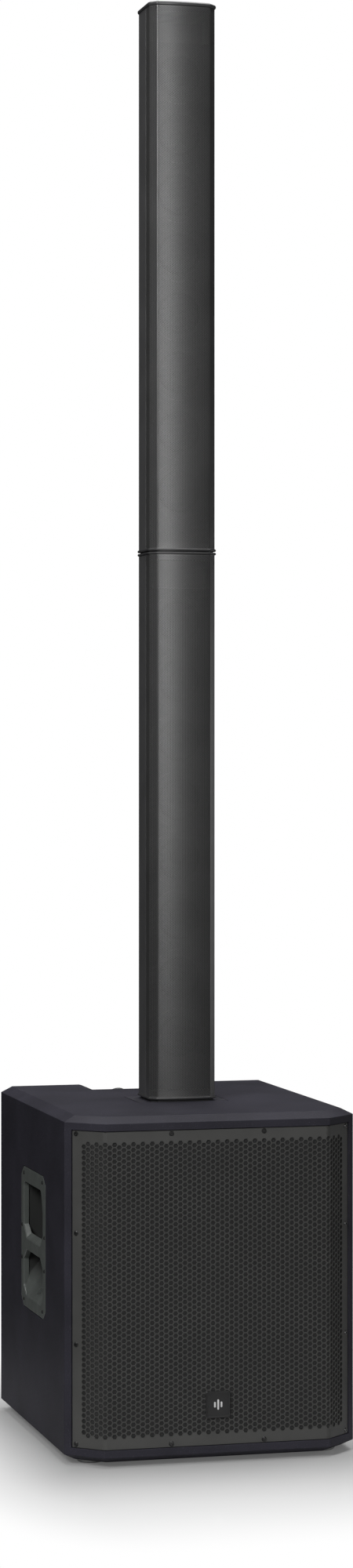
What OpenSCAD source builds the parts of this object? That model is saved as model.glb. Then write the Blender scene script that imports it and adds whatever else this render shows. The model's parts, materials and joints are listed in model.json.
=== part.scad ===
// Column array PA speaker: a two-section column plugged into a powered bass cabinet.
// Millimetres. Origin at the bottom centre, on the floor. The front faces -Y and +Z is up.

/* [Bass cabinet] */
// Width over the side walls
cab_w = 444; // [380:1:520]
// Depth from the flat front to the back
cab_d = 499; // [420:1:560]
// Height without the feet
cab_h = 506; // [440:1:580]
// Side, back and baffle board thickness
wall_t = 18; // [15:1:22]
// Top and bottom board thickness
lid_t = 20; // [18:1:24]
// Sideways run of each front corner facet
facet_w = 50; // [30:1:70]
// Front-to-back run of each front corner facet
facet_d = 46; // [30:1:70]
// How far the top and bottom edge bevels run inwards
bevel_in = 18; // [8:1:24]
// How tall the top and bottom edge bevels are
bevel_h = 9; // [4:0.5:14]
// Height of the rubber feet
foot_h = 6; // [4:0.5:20]
// Radius of the rubber feet
foot_r = 20; // [12:1:26]

/* [Bass grille] */
// Width of the painted border at each end of the grille
border = 12; // [8:0.5:20]
// How deep the grille lies behind the front edges
recess = 2; // [1:0.5:5]
// Grille sheet thickness
sheet = 1.5; // [1:0.1:2]
// Backing foam thickness
foam_t = 4; // [3:0.5:8]
// Side of the plain badge plate
badge_w = 37; // [25:1:60]

/* [Side handles] */
// Handle plate width, front to back
hdl_w = 171.5; // [150:1:200]
// Handle plate height
hdl_h = 215; // [180:1:240]
// Handle plate centre, front to back
hdl_y = 9.5; // [-40:1:40]
// Handle plate centre height
hdl_z = 298; // [250:1:330]
// Depth of the moulded hand pocket
hdl_deep = 62; // [45:1:75]
// Thickness of the handle's plate
plate_t = 3; // [2:0.5:4]
// Depth of the lips round the handle's windows
lip_t = 8.5; // [6:0.5:11]

/* [Column] */
// Half width of the column
col_hw = 52; // [45:0.5:60]
// Radius of the bowed column front
bow_r = 300; // [200:5:500]
// Length of one column section
sec_h = 836.7; // [700:0.1:900]
// Number of drivers in one section
drivers = 8; // [4:1:8]
// Distance between the drivers
pitch = 91; // [89:0.5:95]
// Wall of the aluminium housing
skin = 2.5; // [2:0.1:4]
// How far the end caps stand out past the housing
proud = 1.8; // [1:0.1:3]

/* [Bass driver] */
// Frame radius of the bass driver
bas_r = 193.5; // [180:0.5:196]
// Height of the bass driver axis
bas_z = 278.5; // [276:0.5:279]

/* [Rear] */
// Slope of the control panel
slope = 35.3; // [25:0.1:40]
// Half width of the control notch
notch_w = 94; // [80:1:110]
// Front edge of the control notch
notch_y = 164; // [150:1:180]
// Half width of the amplifier plate
amp_w = 150; // [130:1:170]

/* [Hidden] */
$fn = 96;
hw = cab_w / 2;
hd = cab_d / 2;
z_bot = foot_h;
z_top = foot_h + cab_h;
z_in0 = z_bot + lid_t;
z_in1 = z_top - lid_t;
turn = atan2(facet_d, facet_w);
cf = cos(turn);
sf = sin(turn);
xc = hw - facet_w;
ys = -hd + facet_d;
k_flat = tan(turn / 2);
k_side = tan((90 - turn) / 2);
reb = (wall_t - border * cf) / sf;
baf_y = -hd + 49.5;
baf_back = baf_y + wall_t;
rail_h = 18;
back_y = hd - wall_t;
amp_y = back_y + 1.5;
amp_t = 3;
face_y = amp_y + amp_t;
amp_z0 = 90;
amp_z1 = 430;
pan_y0 = notch_y + 2;
pan_z0 = z_top - 6;
pan_l = (hd - 2 - pan_y0) / cos(slope);
pan_zl = pan_z0 - pan_l * sin(slope);
pad_z = z_top + 2;
low_z = pad_z + 0.3;
up_z = low_z + sec_h + 0.3;
cup_x = 36;
cup_y0 = -21;
cup_y1 = 15;
spig = 0.5;
cup_deep = 50;
bafc_y = -19;
bafc_t = 8;
first = 95;
jack_x = [52, 104];
jack_z = 372;
link_z = 300;
inlet_x = 78;
inlet_z = 118;

// ---------------------------------------------------------------- outlines

// A point on a front facet: s along it from the outer corner, d in from its face.
function on_facet(s, d) = [hw - s * cf - d * sf, ys - s * sf + d * cf];
function flip(p) = [-p[0], p[1]];
function front_corner(d) = [xc - k_flat * d, -hd + d];

module footprint(i, back) {
    a = [hw - i, ys + k_side * i];
    b = front_corner(i);
    polygon([[hw - i, back], a, b, flip(b), flip(a), [i - hw, back]]);
}

// A strip that follows the flat front and both facets.
module bent_strip(d0, d1, s) {
    a = on_facet(s, d0);
    b = front_corner(d0);
    c = front_corner(d1);
    e = on_facet(s, d1);
    polygon([a, b, flip(b), flip(a), flip(e), flip(c), c, e]);
}

module box(x0, x1, y0, y1, z0, z1) {
    translate([x0, y0, z0])
        cube([x1 - x0, y1 - y0, z1 - z0]);
}

// Turns a shape drawn along +Z so that it faces the front.
module facing_front(x, y, z) {
    translate([x, y, z])
        rotate([90, 0, 0])
            children();
}

// Turns a shape drawn along +Z so that it faces the back.
module facing_back(x, y, z) {
    translate([x, y, z])
        rotate([-90, 0, 0])
            children();
}

// The column's outline, shrunk by i.
module column_plan(i) {
    k = tan(22.5) * i;
    intersection() {
        polygon([
            [col_hw - i, 26 - k], [36 - k, 42 - i], [k - 36, 42 - i], [i - col_hw, 26 - k],
            [i - col_hw, k - 40], [i * sqrt(2) - col_hw + 22, -62], [col_hw - 22 - i * sqrt(2), -62],
            [col_hw - i, k - 40]
        ]);
        translate([0, bow_r - 53.4])
            circle(r = bow_r - i);
    }
}

// ---------------------------------------------------------------- cabinet shell

module side_board() {
    difference() {
        translate([0, 0, z_in0])
            linear_extrude(z_in1 - z_in0)
                polygon([[hw, hd], [hw, ys], on_facet(border, 0), on_facet(border, reb), [hw - wall_t, hd]]);
        box(hw - wall_t - 5, hw + 5, hdl_y - 75.5, hdl_y + 75.5, hdl_z - 94, hdl_z + 91.5);
        translate([0, hdl_y, hdl_z])
            sideways(hw - plate_t, hw + 5)
                plate_outline(1);
    }
}

module left_side_panel() {
    color([0.15, 0.15, 0.17])
        mirror([1, 0, 0])
            side_board();
}

module right_side_panel() {
    color([0.15, 0.15, 0.17])
        side_board();
}

// A board with its outer edges bevelled, drawn with the bevel at the top.
module lid_board() {
    hull() {
        linear_extrude(lid_t - bevel_h)
            footprint(0, hd);
        translate([0, 0, lid_t - 0.02])
            linear_extrude(0.02)
                footprint(bevel_in, hd);
    }
}

module top_panel() {
    color([0.25, 0.25, 0.27])
        difference() {
            translate([0, 0, z_in1])
                lid_board();
            box(-notch_w, notch_w, notch_y, hd + 5, z_in1 - 5, z_top + 5);
            box(-70, 70, -49.5, 43.5, z_top - 5, z_top + 5);
            box(-41, 41, -26, 20, z_in1 - 5, z_top + 5);
        }
}

module bottom_panel() {
    color([0.15, 0.15, 0.17])
        difference() {
            translate([0, 0, z_in0])
                mirror([0, 0, 1])
                    lid_board();
            for (x = [-178, 178], y = [-185, 205])
                translate([x, y, z_bot - 5])
                    cylinder(r = 4, h = 19);
        }
}

module back_panel() {
    color([0.15, 0.15, 0.17])
        difference() {
            box(wall_t - hw, hw - wall_t, back_y, hd, z_in0, z_in1);
            box(-notch_w, notch_w, back_y - 5, hd + 5, pan_zl - 4, z_in1 + 5);
            box(-amp_w - 0.5, amp_w + 0.5, amp_y, hd + 5, amp_z0 - 0.5, amp_z1 + 0.5);
            box(10 - amp_w, amp_w - 10, back_y - 5, hd + 5, amp_z0 + 10, amp_z1 - 10);
        }
}

module baffle_board() {
    color([0.12, 0.12, 0.12])
        difference() {
            box(wall_t - hw, hw - wall_t, baf_y, baf_back, z_in0, z_in1);
            facing_front(0, baf_back + 5, bas_z)
                cylinder(r = 175, h = wall_t + 10);
            box(-165, 165, baf_y - 5, baf_back + 5, z_in0 + rail_h, z_in0 + 50);
            bass_screw_places(baf_y + 14)
                cylinder(r = 2.5, h = 20);
        }
}

module port_shelf() {
    color([0.35, 0.28, 0.2])
        difference() {
            box(wall_t - hw, hw - wall_t, baf_back, 60, z_in0 + 50, z_in0 + 62);
            facing_front(0, 62, z_in0 + 56)
                cylinder(r = 3, h = 1);
        }
}

module cabinet_feet() {
    color([0.05, 0.05, 0.05])
        for (x = [-178, 178], y = [-185, 205])
            translate([x, y, 0]) {
                cylinder(r1 = foot_r - 2, r2 = foot_r, h = 2);
                translate([0, 0, 2])
                    cylinder(r = foot_r, h = foot_h - 2);
                cylinder(r = 4, h = foot_h + 12);
            }
}

// ---------------------------------------------------------------- grille

module rail_plan() {
    a = on_facet(border, recess + sheet);
    b = front_corner(recess + sheet);
    c = on_facet(border, reb);
    e = [hw - wall_t, baf_y];
    polygon([a, b, flip(b), flip(a), flip(c), flip(e), e, c]);
}

module end_rail_plan() {
    d = recess + sheet;
    polygon([on_facet(border, d), on_facet(34, d), on_facet(34, 17), on_facet(border, reb)]);
}

module grille_rails() {
    color([0.1, 0.1, 0.1])
        difference() {
            union() {
                for (z = [z_in0, z_in1 - rail_h])
                    translate([0, 0, z])
                        linear_extrude(rail_h)
                            rail_plan();
                for (m = [0, 1])
                    mirror([m, 0, 0])
                        translate([0, 0, z_in0 + rail_h])
                            linear_extrude(z_in1 - z_in0 - 2 * rail_h)
                                end_rail_plan();
            }
            grille_screw_places(recess)
                translate([0, 0, -13])
                    cylinder(r = 1.9, h = 14);
        }
}

// Places children at every grille screw, their +Z pointing out of the sheet at inset d.
module grille_screw_places(d) {
    mid = (z_in0 + z_in1) / 2;
    for (x = [-70.6, 70.6], z = [mid - 227.5, mid + 227.5])
        facing_front(x, -hd + d, z)
            children();
    for (m = [0, 1], z = [mid - 227.5, mid - 81.6, mid + 81.6, mid + 227.5])
        mirror([m, 0, 0])
            translate([on_facet(border + 7, d)[0], on_facet(border + 7, d)[1], z])
                rotate([90, 0, turn])
                    children();
}

module front_grille() {
    color([0.26, 0.26, 0.25])
        difference() {
            translate([0, 0, z_in0 + 1])
                linear_extrude(z_in1 - z_in0 - 2)
                    bent_strip(recess, recess + sheet, border + 1);
            grille_screw_places(recess)
                translate([0, 0, -5])
                    cylinder(r = 2.1, h = 10);
        }
}

module grille_foam() {
    color([0.08, 0.08, 0.08])
        translate([0, 0, z_in0 + rail_h])
            linear_extrude(z_in1 - z_in0 - 2 * rail_h)
                bent_strip(recess + sheet, recess + sheet + foam_t, 34);
}

module grille_screws() {
    color([0.05, 0.05, 0.05])
        grille_screw_places(recess)
            difference() {
                union() {
                    translate([0, 0, -12])
                        cylinder(r = 1.8, h = 12);
                    cylinder(r1 = 3.8, r2 = 2.6, h = 1.6);
                }
                translate([0, 0, 0.6])
                    cylinder(r = 1.5, h = 3, $fn = 6);
            }
}

module badge() {
    color([0.1, 0.1, 0.1])
        difference() {
            box(-badge_w / 2, badge_w / 2, -hd, -hd + recess, 66.5, 105.5);
            box(3 - badge_w / 2, badge_w / 2 - 3, -hd - 1, -hd + 0.6, 69.5, 102.5);
        }
}

// ---------------------------------------------------------------- side handles

// Extrudes a front-to-back by height outline from depth x0 to x1.
module sideways(x0, x1) {
    translate([x0, 0, 0])
        rotate([90, 0, 90])
            linear_extrude(x1 - x0)
                children();
}

module plate_outline(g) {
    a = hdl_w / 2 + g;
    b = hdl_h / 2 + g;
    polygon([
        [a, 13 - b], [a, b - 13], [a - 17, b], [17 - a, b], [-a, b - 13], [-a, 13 - b],
        [17 - a, -b], [a - 17, -b]
    ]);
}

// g widens the window and up lifts its lower edge, the bar's top.
module upper_window(g, up) {
    front = -66 - g;
    rear = 70 + g;
    polygon([
        [-54 - g, 83 + g], [rear, 83 + g], [rear, 18 - g], [49 + g / 2, up - g - 1],
        [-47 - g / 2, up - g - 1], [front, 18 - g], [front, 50]
    ]);
}

module lower_window(g) {
    front = -66 - g;
    rear = 70 + g;
    polygon([
        [-47 - g / 2, g - 19], [49 + g / 2, g - 19], [rear, g - 35], [rear, -77 - g / 2],
        [52 + g, -90 - g], [-50 - g, -90 - g], [front, -77 - g / 2], [front, g - 35]
    ]);
}

// Extrudes a depth by height outline from front to back over 2 y, centred.
module lengthways(y) {
    translate([0, y, 0])
        rotate([90, 0, 0])
            linear_extrude(2 * y)
                children();
}

module handle_screw_places() {
    for (y = [-65.5, 65.5], z = [-97.5, 97.5])
        translate([0, y, z])
            rotate([0, -90, 0])
                children();
    for (y = [-79, 79], z = [-34.5, 15.5])
        translate([0, y, z])
            rotate([0, -90, 0])
                children();
}

// Depth runs along +X from the plate's outer face, with the origin at the plate's centre.
module handle_shape() {
    difference() {
        union() {
            sideways(0, plate_t)
                plate_outline(0);
            difference() {
                box(plate_t, hdl_deep, -75, 75, -93.5, 91);
                box(plate_t - 1, hdl_deep - 3, -72, 72, -90.5, 88);
            }
            sideways(plate_t, lip_t)
                upper_window(2.9, 0);
            sideways(plate_t, lip_t)
                lower_window(2.9);
            lengthways(70)
                polygon([[2, -18], [12, -18], [12, 3], [lip_t, 6], [2, 1]]);
        }
        hull() {
            sideways(-0.02, 0)
                upper_window(0, 0);
            sideways(lip_t, lip_t + 0.02)
                upper_window(0, 7);
        }
        sideways(lip_t, 13)
            upper_window(0, 7);
        sideways(-1, 13)
            lower_window(0);
        handle_screw_places()
            translate([0, 0, -10])
                cylinder(r = 1.7, h = 20);
    }
    lengthways(72.5)
        polygon([
            [0.5, -91], [0.5, -90], [14, -72], [27, -57], [44, -45], [hdl_deep - 3, -38], [hdl_deep - 3, -91]
        ]);
    for (m = [0, 1])
        mirror([0, m, 0])
            sideways(plate_t, hdl_deep - 3)
                polygon([[72.5, -91], [46, -91], [72.5, -60]]);
}

module handle_left() {
    color([0.22, 0.23, 0.22])
        translate([-hw, hdl_y, hdl_z])
            handle_shape();
}

module handle_right() {
    color([0.22, 0.23, 0.22])
        mirror([1, 0, 0])
            translate([-hw, hdl_y, hdl_z])
                handle_shape();
}

module handle_screws() {
    color([0.05, 0.05, 0.05])
        for (m = [0, 1])
            mirror([m, 0, 0])
                translate([-hw, hdl_y, hdl_z])
                    handle_screw_places()
                        difference() {
                            union() {
                                translate([0, 0, -2.5])
                                    cylinder(r = 1.6, h = 3);
                                cylinder(r1 = 3.4, r2 = 2.4, h = 1.2);
                            }
                            translate([0, 0, 0.4])
                                cylinder(r = 1.4, h = 3, $fn = 6);
                        }
}

// ---------------------------------------------------------------- column mount on the cabinet

module column_plate() {
    color([0.2, 0.2, 0.21])
        difference() {
            union() {
                box(-69.5, 69.5, -49, 43, z_top - 5, z_top);
                translate([0, 0, z_top])
                    linear_extrude(2)
                        column_plan(3);
            }
            box(-cup_x, cup_x, cup_y0, cup_y1, z_top - 10, z_top + 10);
        }
}

module column_socket() {
    color([0.1, 0.1, 0.1])
        difference() {
            box(-cup_x - 4, cup_x + 4, cup_y0 - 4, cup_y1 + 4, z_top - cup_deep - 5, z_top - 5);
            box(-cup_x, cup_x, cup_y0, cup_y1, z_top - cup_deep, z_top + 1);
        }
}

// ---------------------------------------------------------------- bass driver

module bass_axis() {
    facing_front(0, baf_y, bas_z)
        children();
}

module bass_screw_places(y) {
    for (i = [0:7])
        facing_front(0, y, bas_z)
            rotate([0, 0, i * 45 + 22.5])
                translate([185, 0, 0])
                    children();
}

module woofer_basket() {
    color([0.13, 0.13, 0.13])
        difference() {
            bass_axis()
                difference() {
                    rotate_extrude()
                        polygon([
                            [171, 5], [bas_r, 5], [bas_r, 0], [174.5, 0], [110.5, -77], [88, -104],
                            [88, -110], [60, -110], [60, -106], [84, -106], [106, -79.5], [88, -79.5],
                            [88, -77], [107, -77], [171, 0]
                        ]);
                    for (i = [0:5])
                        rotate([0, 0, i * 60])
                            translate([60, -38, -70])
                                cube([112, 76, 60]);
                }
            bass_screw_places(baf_y + 5)
                cylinder(r = 2.6, h = 20);
        }
}

module woofer_magnet() {
    color([0.12, 0.12, 0.13])
        bass_axis()
            translate([0, 0, -145])
                difference() {
                    cylinder(r = 95, h = 25);
                    translate([0, 0, -1])
                        cylinder(r = 45, h = 27);
                }
}

module woofer_plates() {
    color([0.5, 0.5, 0.52])
        bass_axis() {
            translate([0, 0, -120])
                difference() {
                    cylinder(r = 88, h = 10);
                    translate([0, 0, -1])
                        cylinder(r = 39.8, h = 12);
                }
            translate([0, 0, -157])
                difference() {
                    union() {
                        cylinder(r = 92, h = 12);
                        cylinder(r = 36.5, h = 45);
                    }
                    translate([0, 0, -1])
                        cylinder(r = 12, h = 50);
                }
        }
}

module woofer_screws() {
    color([0.08, 0.08, 0.08])
        bass_screw_places(baf_y - 5)
            difference() {
                union() {
                    translate([0, 0, -17])
                        cylinder(r = 2.4, h = 17);
                    cylinder(r = 4.2, h = 4);
                }
                translate([0, 0, 1.5])
                    cylinder(r = 2.4, h = 5, $fn = 6);
            }
}

// A half roll: a ring of half-circle section, radius r, wall t, centred at radius c.
module half_roll(c, r, t, z) {
    rotate_extrude()
        translate([c, z])
            intersection() {
                difference() {
                    circle(r = r);
                    circle(r = r - t);
                }
                translate([-r - 1, 0])
                    square([2 * r + 2, r + 1]);
            }
}

module ring(r0, r1, z0, z1) {
    translate([0, 0, z0])
        difference() {
            cylinder(r = r1, h = z1 - z0);
            translate([0, 0, -1])
                cylinder(r = r0, h = z1 - z0 + 2);
        }
}

module woofer_surround() {
    color([0.06, 0.06, 0.06])
        bass_axis() {
            half_roll(157, 13, 1.2, 5);
            ring(169, 178, 5, 6.2);
            ring(141, 145, 5, 6.2);
        }
}

module woofer_spider() {
    color([0.6, 0.45, 0.2])
        bass_axis() {
            ring(90, 104, -77, -76.2);
            for (i = [0:4])
                half_roll(50 + 10 * i, 5.4, 0.8, -77);
            ring(39.3, 45.2, -77, -76.2);
        }
}

module woofer_cone() {
    color([0.09, 0.09, 0.09])
        bass_axis()
            rotate_extrude()
                polygon([[39, -58], [39, -56], [141, 4], [141, 5], [144.4, 5], [144.4, 3.4], [142.5, 3.4]]);
}

module voice_coil() {
    color([0.7, 0.45, 0.2])
        bass_axis() {
            ring(37.8, 38.4, -128, -76);
            ring(37.8, 39, -76, -56);
            ring(38.4, 39.1, -125, -106);
        }
}

module dust_cap() {
    color([0.09, 0.09, 0.09])
        bass_axis()
            rotate_extrude()
                intersection() {
                    translate([0, -132.5])
                        difference() {
                            circle(r = 102.5);
                            circle(r = 101.5);
                        }
                    translate([0, -45.6])
                        square([56, 30]);
                }
}

// ---------------------------------------------------------------- rear plate

module amp_panel() {
    color([0.14, 0.14, 0.15])
        difference() {
            box(-amp_w, amp_w, amp_y, face_y, amp_z0, amp_z1);
            for (x = jack_x) {
                facing_back(x, amp_y - 5, jack_z)
                    cylinder(r = 13, h = 15);
                box(x - 5, x + 5, amp_y - 5, face_y + 5, jack_z + 12, jack_z + 19);
                facing_back(x, amp_y - 5, link_z)
                    cylinder(r = 12, h = 15);
            }
            box(inlet_x - 13.5, inlet_x + 13.5, amp_y - 5, face_y + 5, inlet_z + 3, inlet_z + 57);
            amp_screw_places(face_y - 20)
                cylinder(r = 1.7, h = 40);
        }
}

// Every screw on the rear plate, its +Z pointing out of the back.
module amp_screw_places(y) {
    for (x = [5 - amp_w, amp_w - 5], z = [95, 150, 205, 260, 315, 370, 425])
        facing_back(x, y, z)
            children();
    for (x = jack_x, z = [jack_z - 12, link_z - 12])
        facing_back(x - 11, y, z)
            children();
    for (x = jack_x, z = [jack_z + 16, link_z + 12])
        facing_back(x + 11, y, z)
            children();
}

module panel_screws() {
    color([0.5, 0.5, 0.5]) {
        for (x = [5 - amp_w, amp_w - 5], z = [95, 150, 205, 260, 315, 370, 425])
            facing_back(x, face_y, z)
                small_screw(3);
        for (x = jack_x, z = [jack_z - 12, link_z - 12])
            facing_back(x - 11, face_y + 2.2, z)
                small_screw(5);
        for (x = jack_x, z = [jack_z + 16, link_z + 12])
            facing_back(x + 11, face_y + 2.2, z)
                small_screw(5);
    }
}

module small_screw(h) {
    difference() {
        union() {
            translate([0, 0, -h])
                cylinder(r = 1.5, h = h);
            cylinder(r1 = 2.8, r2 = 2, h = 1.2);
        }
        translate([0, 0, 0.5])
            cylinder(r = 1.2, h = 2, $fn = 6);
    }
}

module amp_heatsink() {
    color([0.1, 0.1, 0.1]) {
        box(-136, -14, face_y, face_y + 3, 120, 410);
        for (i = [0:12])
            box(-135.5 + 10 * i, -133.5 + 10 * i, face_y + 3, hd - 1, 120, 410);
    }
}

module amp_board() {
    color([0.1, 0.3, 0.15]) {
        difference() {
            box(-135, 135, 180, 181.6, 110, 410);
            for (x = [-125, 125], z = [120, 400])
                facing_back(x, 170, z)
                    cylinder(r = 1.6, h = 20);
        }
        for (x = [-125, 125], z = [120, 400])
            facing_back(x, 181.6, z)
                ring(1.6, 4, 0, amp_y - 181.6);
        for (x = [-110, -70], z = [150, 195])
            facing_back(x, 181.6, z)
                cylinder(r = 15, h = 38);
        facing_back(-70, 181.6, 300)
            ring(14, 34, 0, 26);
        box(-40, 30, 181.6, 205, 130, 190);
    }
}

module mains_inlet() {
    color([0.06, 0.06, 0.06]) {
        difference() {
            union() {
                box(inlet_x - 17, inlet_x + 17, face_y, face_y + 2.5, inlet_z, inlet_z + 60);
                box(inlet_x - 13, inlet_x + 13, face_y - 24, face_y, inlet_z + 3.5, inlet_z + 56.5);
            }
            translate([inlet_x, face_y - 20, inlet_z + 15.5])
                rotate([-90, 0, 0])
                    linear_extrude(30)
                        polygon([[-12, -8.2], [12, -8.2], [12, 3.2], [7, 8.2], [-7, 8.2], [-12, 3.2]]);
            box(inlet_x - 7, inlet_x + 7, face_y - 12, face_y + 5, inlet_z + 33.2, inlet_z + 54.8);
            translate([inlet_x - 9, face_y - 1, inlet_z + 44])
                rotate([0, 90, 0])
                    cylinder(r = 1.56, h = 18);
        }
        for (x = [-7, 0, 7])
            box(inlet_x + x - 2, inlet_x + x + 2, face_y - 20, face_y - 5, inlet_z + 14.5, inlet_z + 16.5);
    }
}

module power_rocker() {
    color([0.5, 0.06, 0.05])
        translate([inlet_x, face_y - 1, inlet_z + 44])
            rotate([7, 0, 0]) {
                rotate([90, 0, 90])
                    translate([0, 0, -6.6])
                        linear_extrude(13.2)
                            polygon([[-5, -8.5], [3, -9.6], [4.6, -9.6], [2.6, 0], [4.6, 9.6], [3, 9.6], [-5, 8.5]]);
                translate([-8.6, 0, 0])
                    rotate([0, 90, 0])
                        cylinder(r = 1.5, h = 17.2);
            }
}

module combo_jacks() {
    color([0.08, 0.08, 0.08])
        for (x = jack_x)
            difference() {
                union() {
                    box(x - 13.5, x + 13.5, face_y, face_y + 2.2, jack_z - 15, jack_z + 20);
                    facing_back(x, face_y - 26, jack_z)
                        cylinder(r = 12.6, h = 26);
                }
                facing_back(x, face_y - 1, jack_z)
                    cylinder(r = 11.8, h = 10);
                facing_back(x, face_y - 23, jack_z)
                    cylinder(r = 3.25, h = 30);
                for (a = [0, 120, 240])
                    facing_back(x, face_y - 16, jack_z)
                        rotate([0, 0, a + 90])
                            translate([6.6, 0, 0])
                                cylinder(r = 1.3, h = 20);
                box(x - 4.3, x + 4.3, face_y - 5, face_y + 5, jack_z + 12.4, jack_z + 18.3);
                for (s = [-1, 1])
                    facing_back(x + 11 * s, face_y - 5, jack_z + 2 + 14 * s)
                        cylinder(r = 1.7, h = 20);
            }
}

module latch_tab(x) {
    color([0.6, 0.6, 0.62]) {
        box(x - 4, x + 4, face_y - 6, face_y + 3.6, jack_z + 13, jack_z + 18);
        box(x - 4.8, x + 4.8, face_y - 4.6, face_y - 3.3, jack_z + 13, jack_z + 18.8);
    }
}

module latch_tab_a() {
    latch_tab(jack_x[0]);
}

module latch_tab_b() {
    latch_tab(jack_x[1]);
}

module link_jacks() {
    color([0.08, 0.08, 0.08])
        for (x = jack_x) {
            difference() {
                union() {
                    box(x - 13.5, x + 13.5, face_y, face_y + 2.2, link_z - 15, link_z + 15);
                    facing_back(x, face_y - 20, link_z)
                        cylinder(r = 11.8, h = 20);
                }
                facing_back(x, face_y - 17, link_z)
                    cylinder(r = 9.6, h = 30);
                for (s = [-1, 1])
                    facing_back(x + 11 * s, face_y - 5, link_z + 12 * s)
                        cylinder(r = 1.7, h = 20);
            }
            for (a = [0, 120, 240])
                facing_back(x, face_y - 17, link_z)
                    rotate([0, 0, a + 90])
                        translate([4.6, 0, 0])
                            cylinder(r = 1.2, h = 11);
        }
}

// ---------------------------------------------------------------- sloped control panel

module on_panel() {
    translate([0, pan_y0, pan_z0])
        rotate([-slope, 0, 0])
            children();
}

module control_tray() {
    color([0.12, 0.12, 0.13]) {
        for (x = [-notch_w, notch_w - 2])
            difference() {
                box(x, x + 2, notch_y, hd - 1, pan_zl - 4, z_top - 0.5);
                on_panel()
                    translate([x - 1, -20, -30])
                        cube([4, pan_l + 40, 27.3]);
            }
        difference() {
            box(2 - notch_w, notch_w - 2, notch_y, notch_y + 2, z_top - 9, z_top - 0.5);
            on_panel()
                translate([-notch_w, -20, -30])
                    cube([2 * notch_w, 40, 30]);
        }
        on_panel()
            for (x = [2 - notch_w, notch_w - 8])
                translate([x, 3, -4.7])
                    cube([6, pan_l - 8, 2]);
    }
}

module control_panel() {
    color([0.14, 0.14, 0.15])
        on_panel()
            difference() {
                translate([2 - notch_w, 0.3, -2.7])
                    cube([2 * notch_w - 4, pan_l - 0.6, 2.7]);
                translate([-15, 22, -5])
                    cube([70, 35, 10]);
                translate([-44, 30, -5])
                    cylinder(r = 3.1, h = 10);
                for (x = [-60, -28])
                    translate([x, 68, -5])
                        cylinder(r = 4.7, h = 10);
            }
}

module display_window() {
    color([0.05, 0.07, 0.09, 0.8])
        on_panel()
            translate([-15, 22, -2.6])
                cube([70, 35, 2.2]);
}

module encoder_shaft() {
    color([0.6, 0.6, 0.62])
        on_panel()
            translate([-44, 30, 0]) {
                translate([0, 0, -12])
                    cylinder(r = 3, h = 24);
                translate([0, 0, -12])
                    cylinder(r = 5, h = 3);
            }
}

module encoder_knob() {
    color([0.1, 0.1, 0.1])
        on_panel()
            translate([-44, 30, 1.6])
                difference() {
                    union() {
                        cylinder(r1 = 15, r2 = 14, h = 15);
                        translate([0, 0, 15])
                            cylinder(r1 = 14, r2 = 12.5, h = 2.4);
                    }
                    translate([0, 0, -1])
                        cylinder(r = 3.06, h = 11.7);
                    for (i = [0:17])
                        rotate([0, 0, i * 20])
                            translate([15.3, 0, -1])
                                cylinder(r = 1, h = 14.6);
                }
}

module menu_button(x) {
    color([0.25, 0.25, 0.26])
        on_panel()
            translate([x, 68, 0]) {
                translate([0, 0, -6])
                    cylinder(r = 4.5, h = 8.6);
                translate([0, 0, -6])
                    cylinder(r = 6.2, h = 3);
            }
}

module menu_button_a() {
    menu_button(-60);
}

module menu_button_b() {
    menu_button(-28);
}

// ---------------------------------------------------------------- column sections

// Each section part is drawn with the section's underside at z = 0.

module housing() {
    color([0.19, 0.19, 0.19])
        translate([0, 0, 5])
            linear_extrude(sec_h - 9)
                intersection() {
                    difference() {
                        column_plan(0);
                        column_plan(skin);
                    }
                    translate([-80, -19])
                        square([160, 80]);
                }
}

module column_grille() {
    color([0.3, 0.3, 0.3])
        translate([0, 0, 5])
            linear_extrude(sec_h - 9)
                intersection() {
                    difference() {
                        column_plan(0.3);
                        column_plan(1.5);
                    }
                    translate([-80, -99.2])
                        square([160, 80]);
                }
}

module base_cap() {
    color([0.16, 0.16, 0.16]) {
        linear_extrude(1)
            column_plan(2.5);
        translate([0, 0, 1])
            linear_extrude(4)
                column_plan(-proud);
        translate([0, 0, 5])
            linear_extrude(9)
                column_plan(skin + 0.1);
        box(spig - cup_x, cup_x - spig, cup_y0 + spig, cup_y1 - spig, 3 - cup_deep, 0.5);
    }
}

module top_cap() {
    color([0.16, 0.16, 0.16])
        difference() {
            union() {
                translate([0, 0, sec_h - 4])
                    linear_extrude(4)
                        column_plan(-proud);
                translate([0, 0, sec_h - 12])
                    linear_extrude(8)
                        column_plan(skin + 0.1);
                box(-cup_x - 4, cup_x + 4, cup_y0 - 4, cup_y1 + 4, sec_h - cup_deep - 4, sec_h - 12);
            }
            box(-cup_x, cup_x, cup_y0, cup_y1, sec_h - cup_deep, sec_h + 5);
        }
}

module driver_places() {
    for (i = [0:drivers - 1])
        facing_front(0, bafc_y, first + pitch * i)
            children();
}

module column_baffle() {
    color([0.1, 0.1, 0.1])
        difference() {
            box(skin - col_hw, col_hw - skin, bafc_y, bafc_y + bafc_t, 14, sec_h - cup_deep - 4);
            driver_places()
                translate([0, 0, -20])
                    cylinder(r = 37, h = 40);
        }
}

module column_drivers() {
    color([0.14, 0.14, 0.14])
        driver_places() {
            rotate_extrude()
                polygon([
                    [34, 3], [43, 3], [43, 0], [36.6, 0], [24, -24], [24, -28], [12.5, -28],
                    [12.5, -26], [22, -26], [22.3, -24.8], [34, 1]
                ]);
            rotate_extrude()
                polygon([
                    [0, -46], [28, -46], [28, -28], [10.2, -28], [10.2, -42], [8.2, -42],
                    [8.2, -29], [0, -29]
                ]);
        }
}

module column_surrounds() {
    color([0.05, 0.05, 0.05])
        driver_places() {
            half_roll(30, 3.6, 0.6, 2);
            ring(33, 34, 2, 2.6);
            ring(26.3, 27, 2, 2.6);
        }
}

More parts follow.
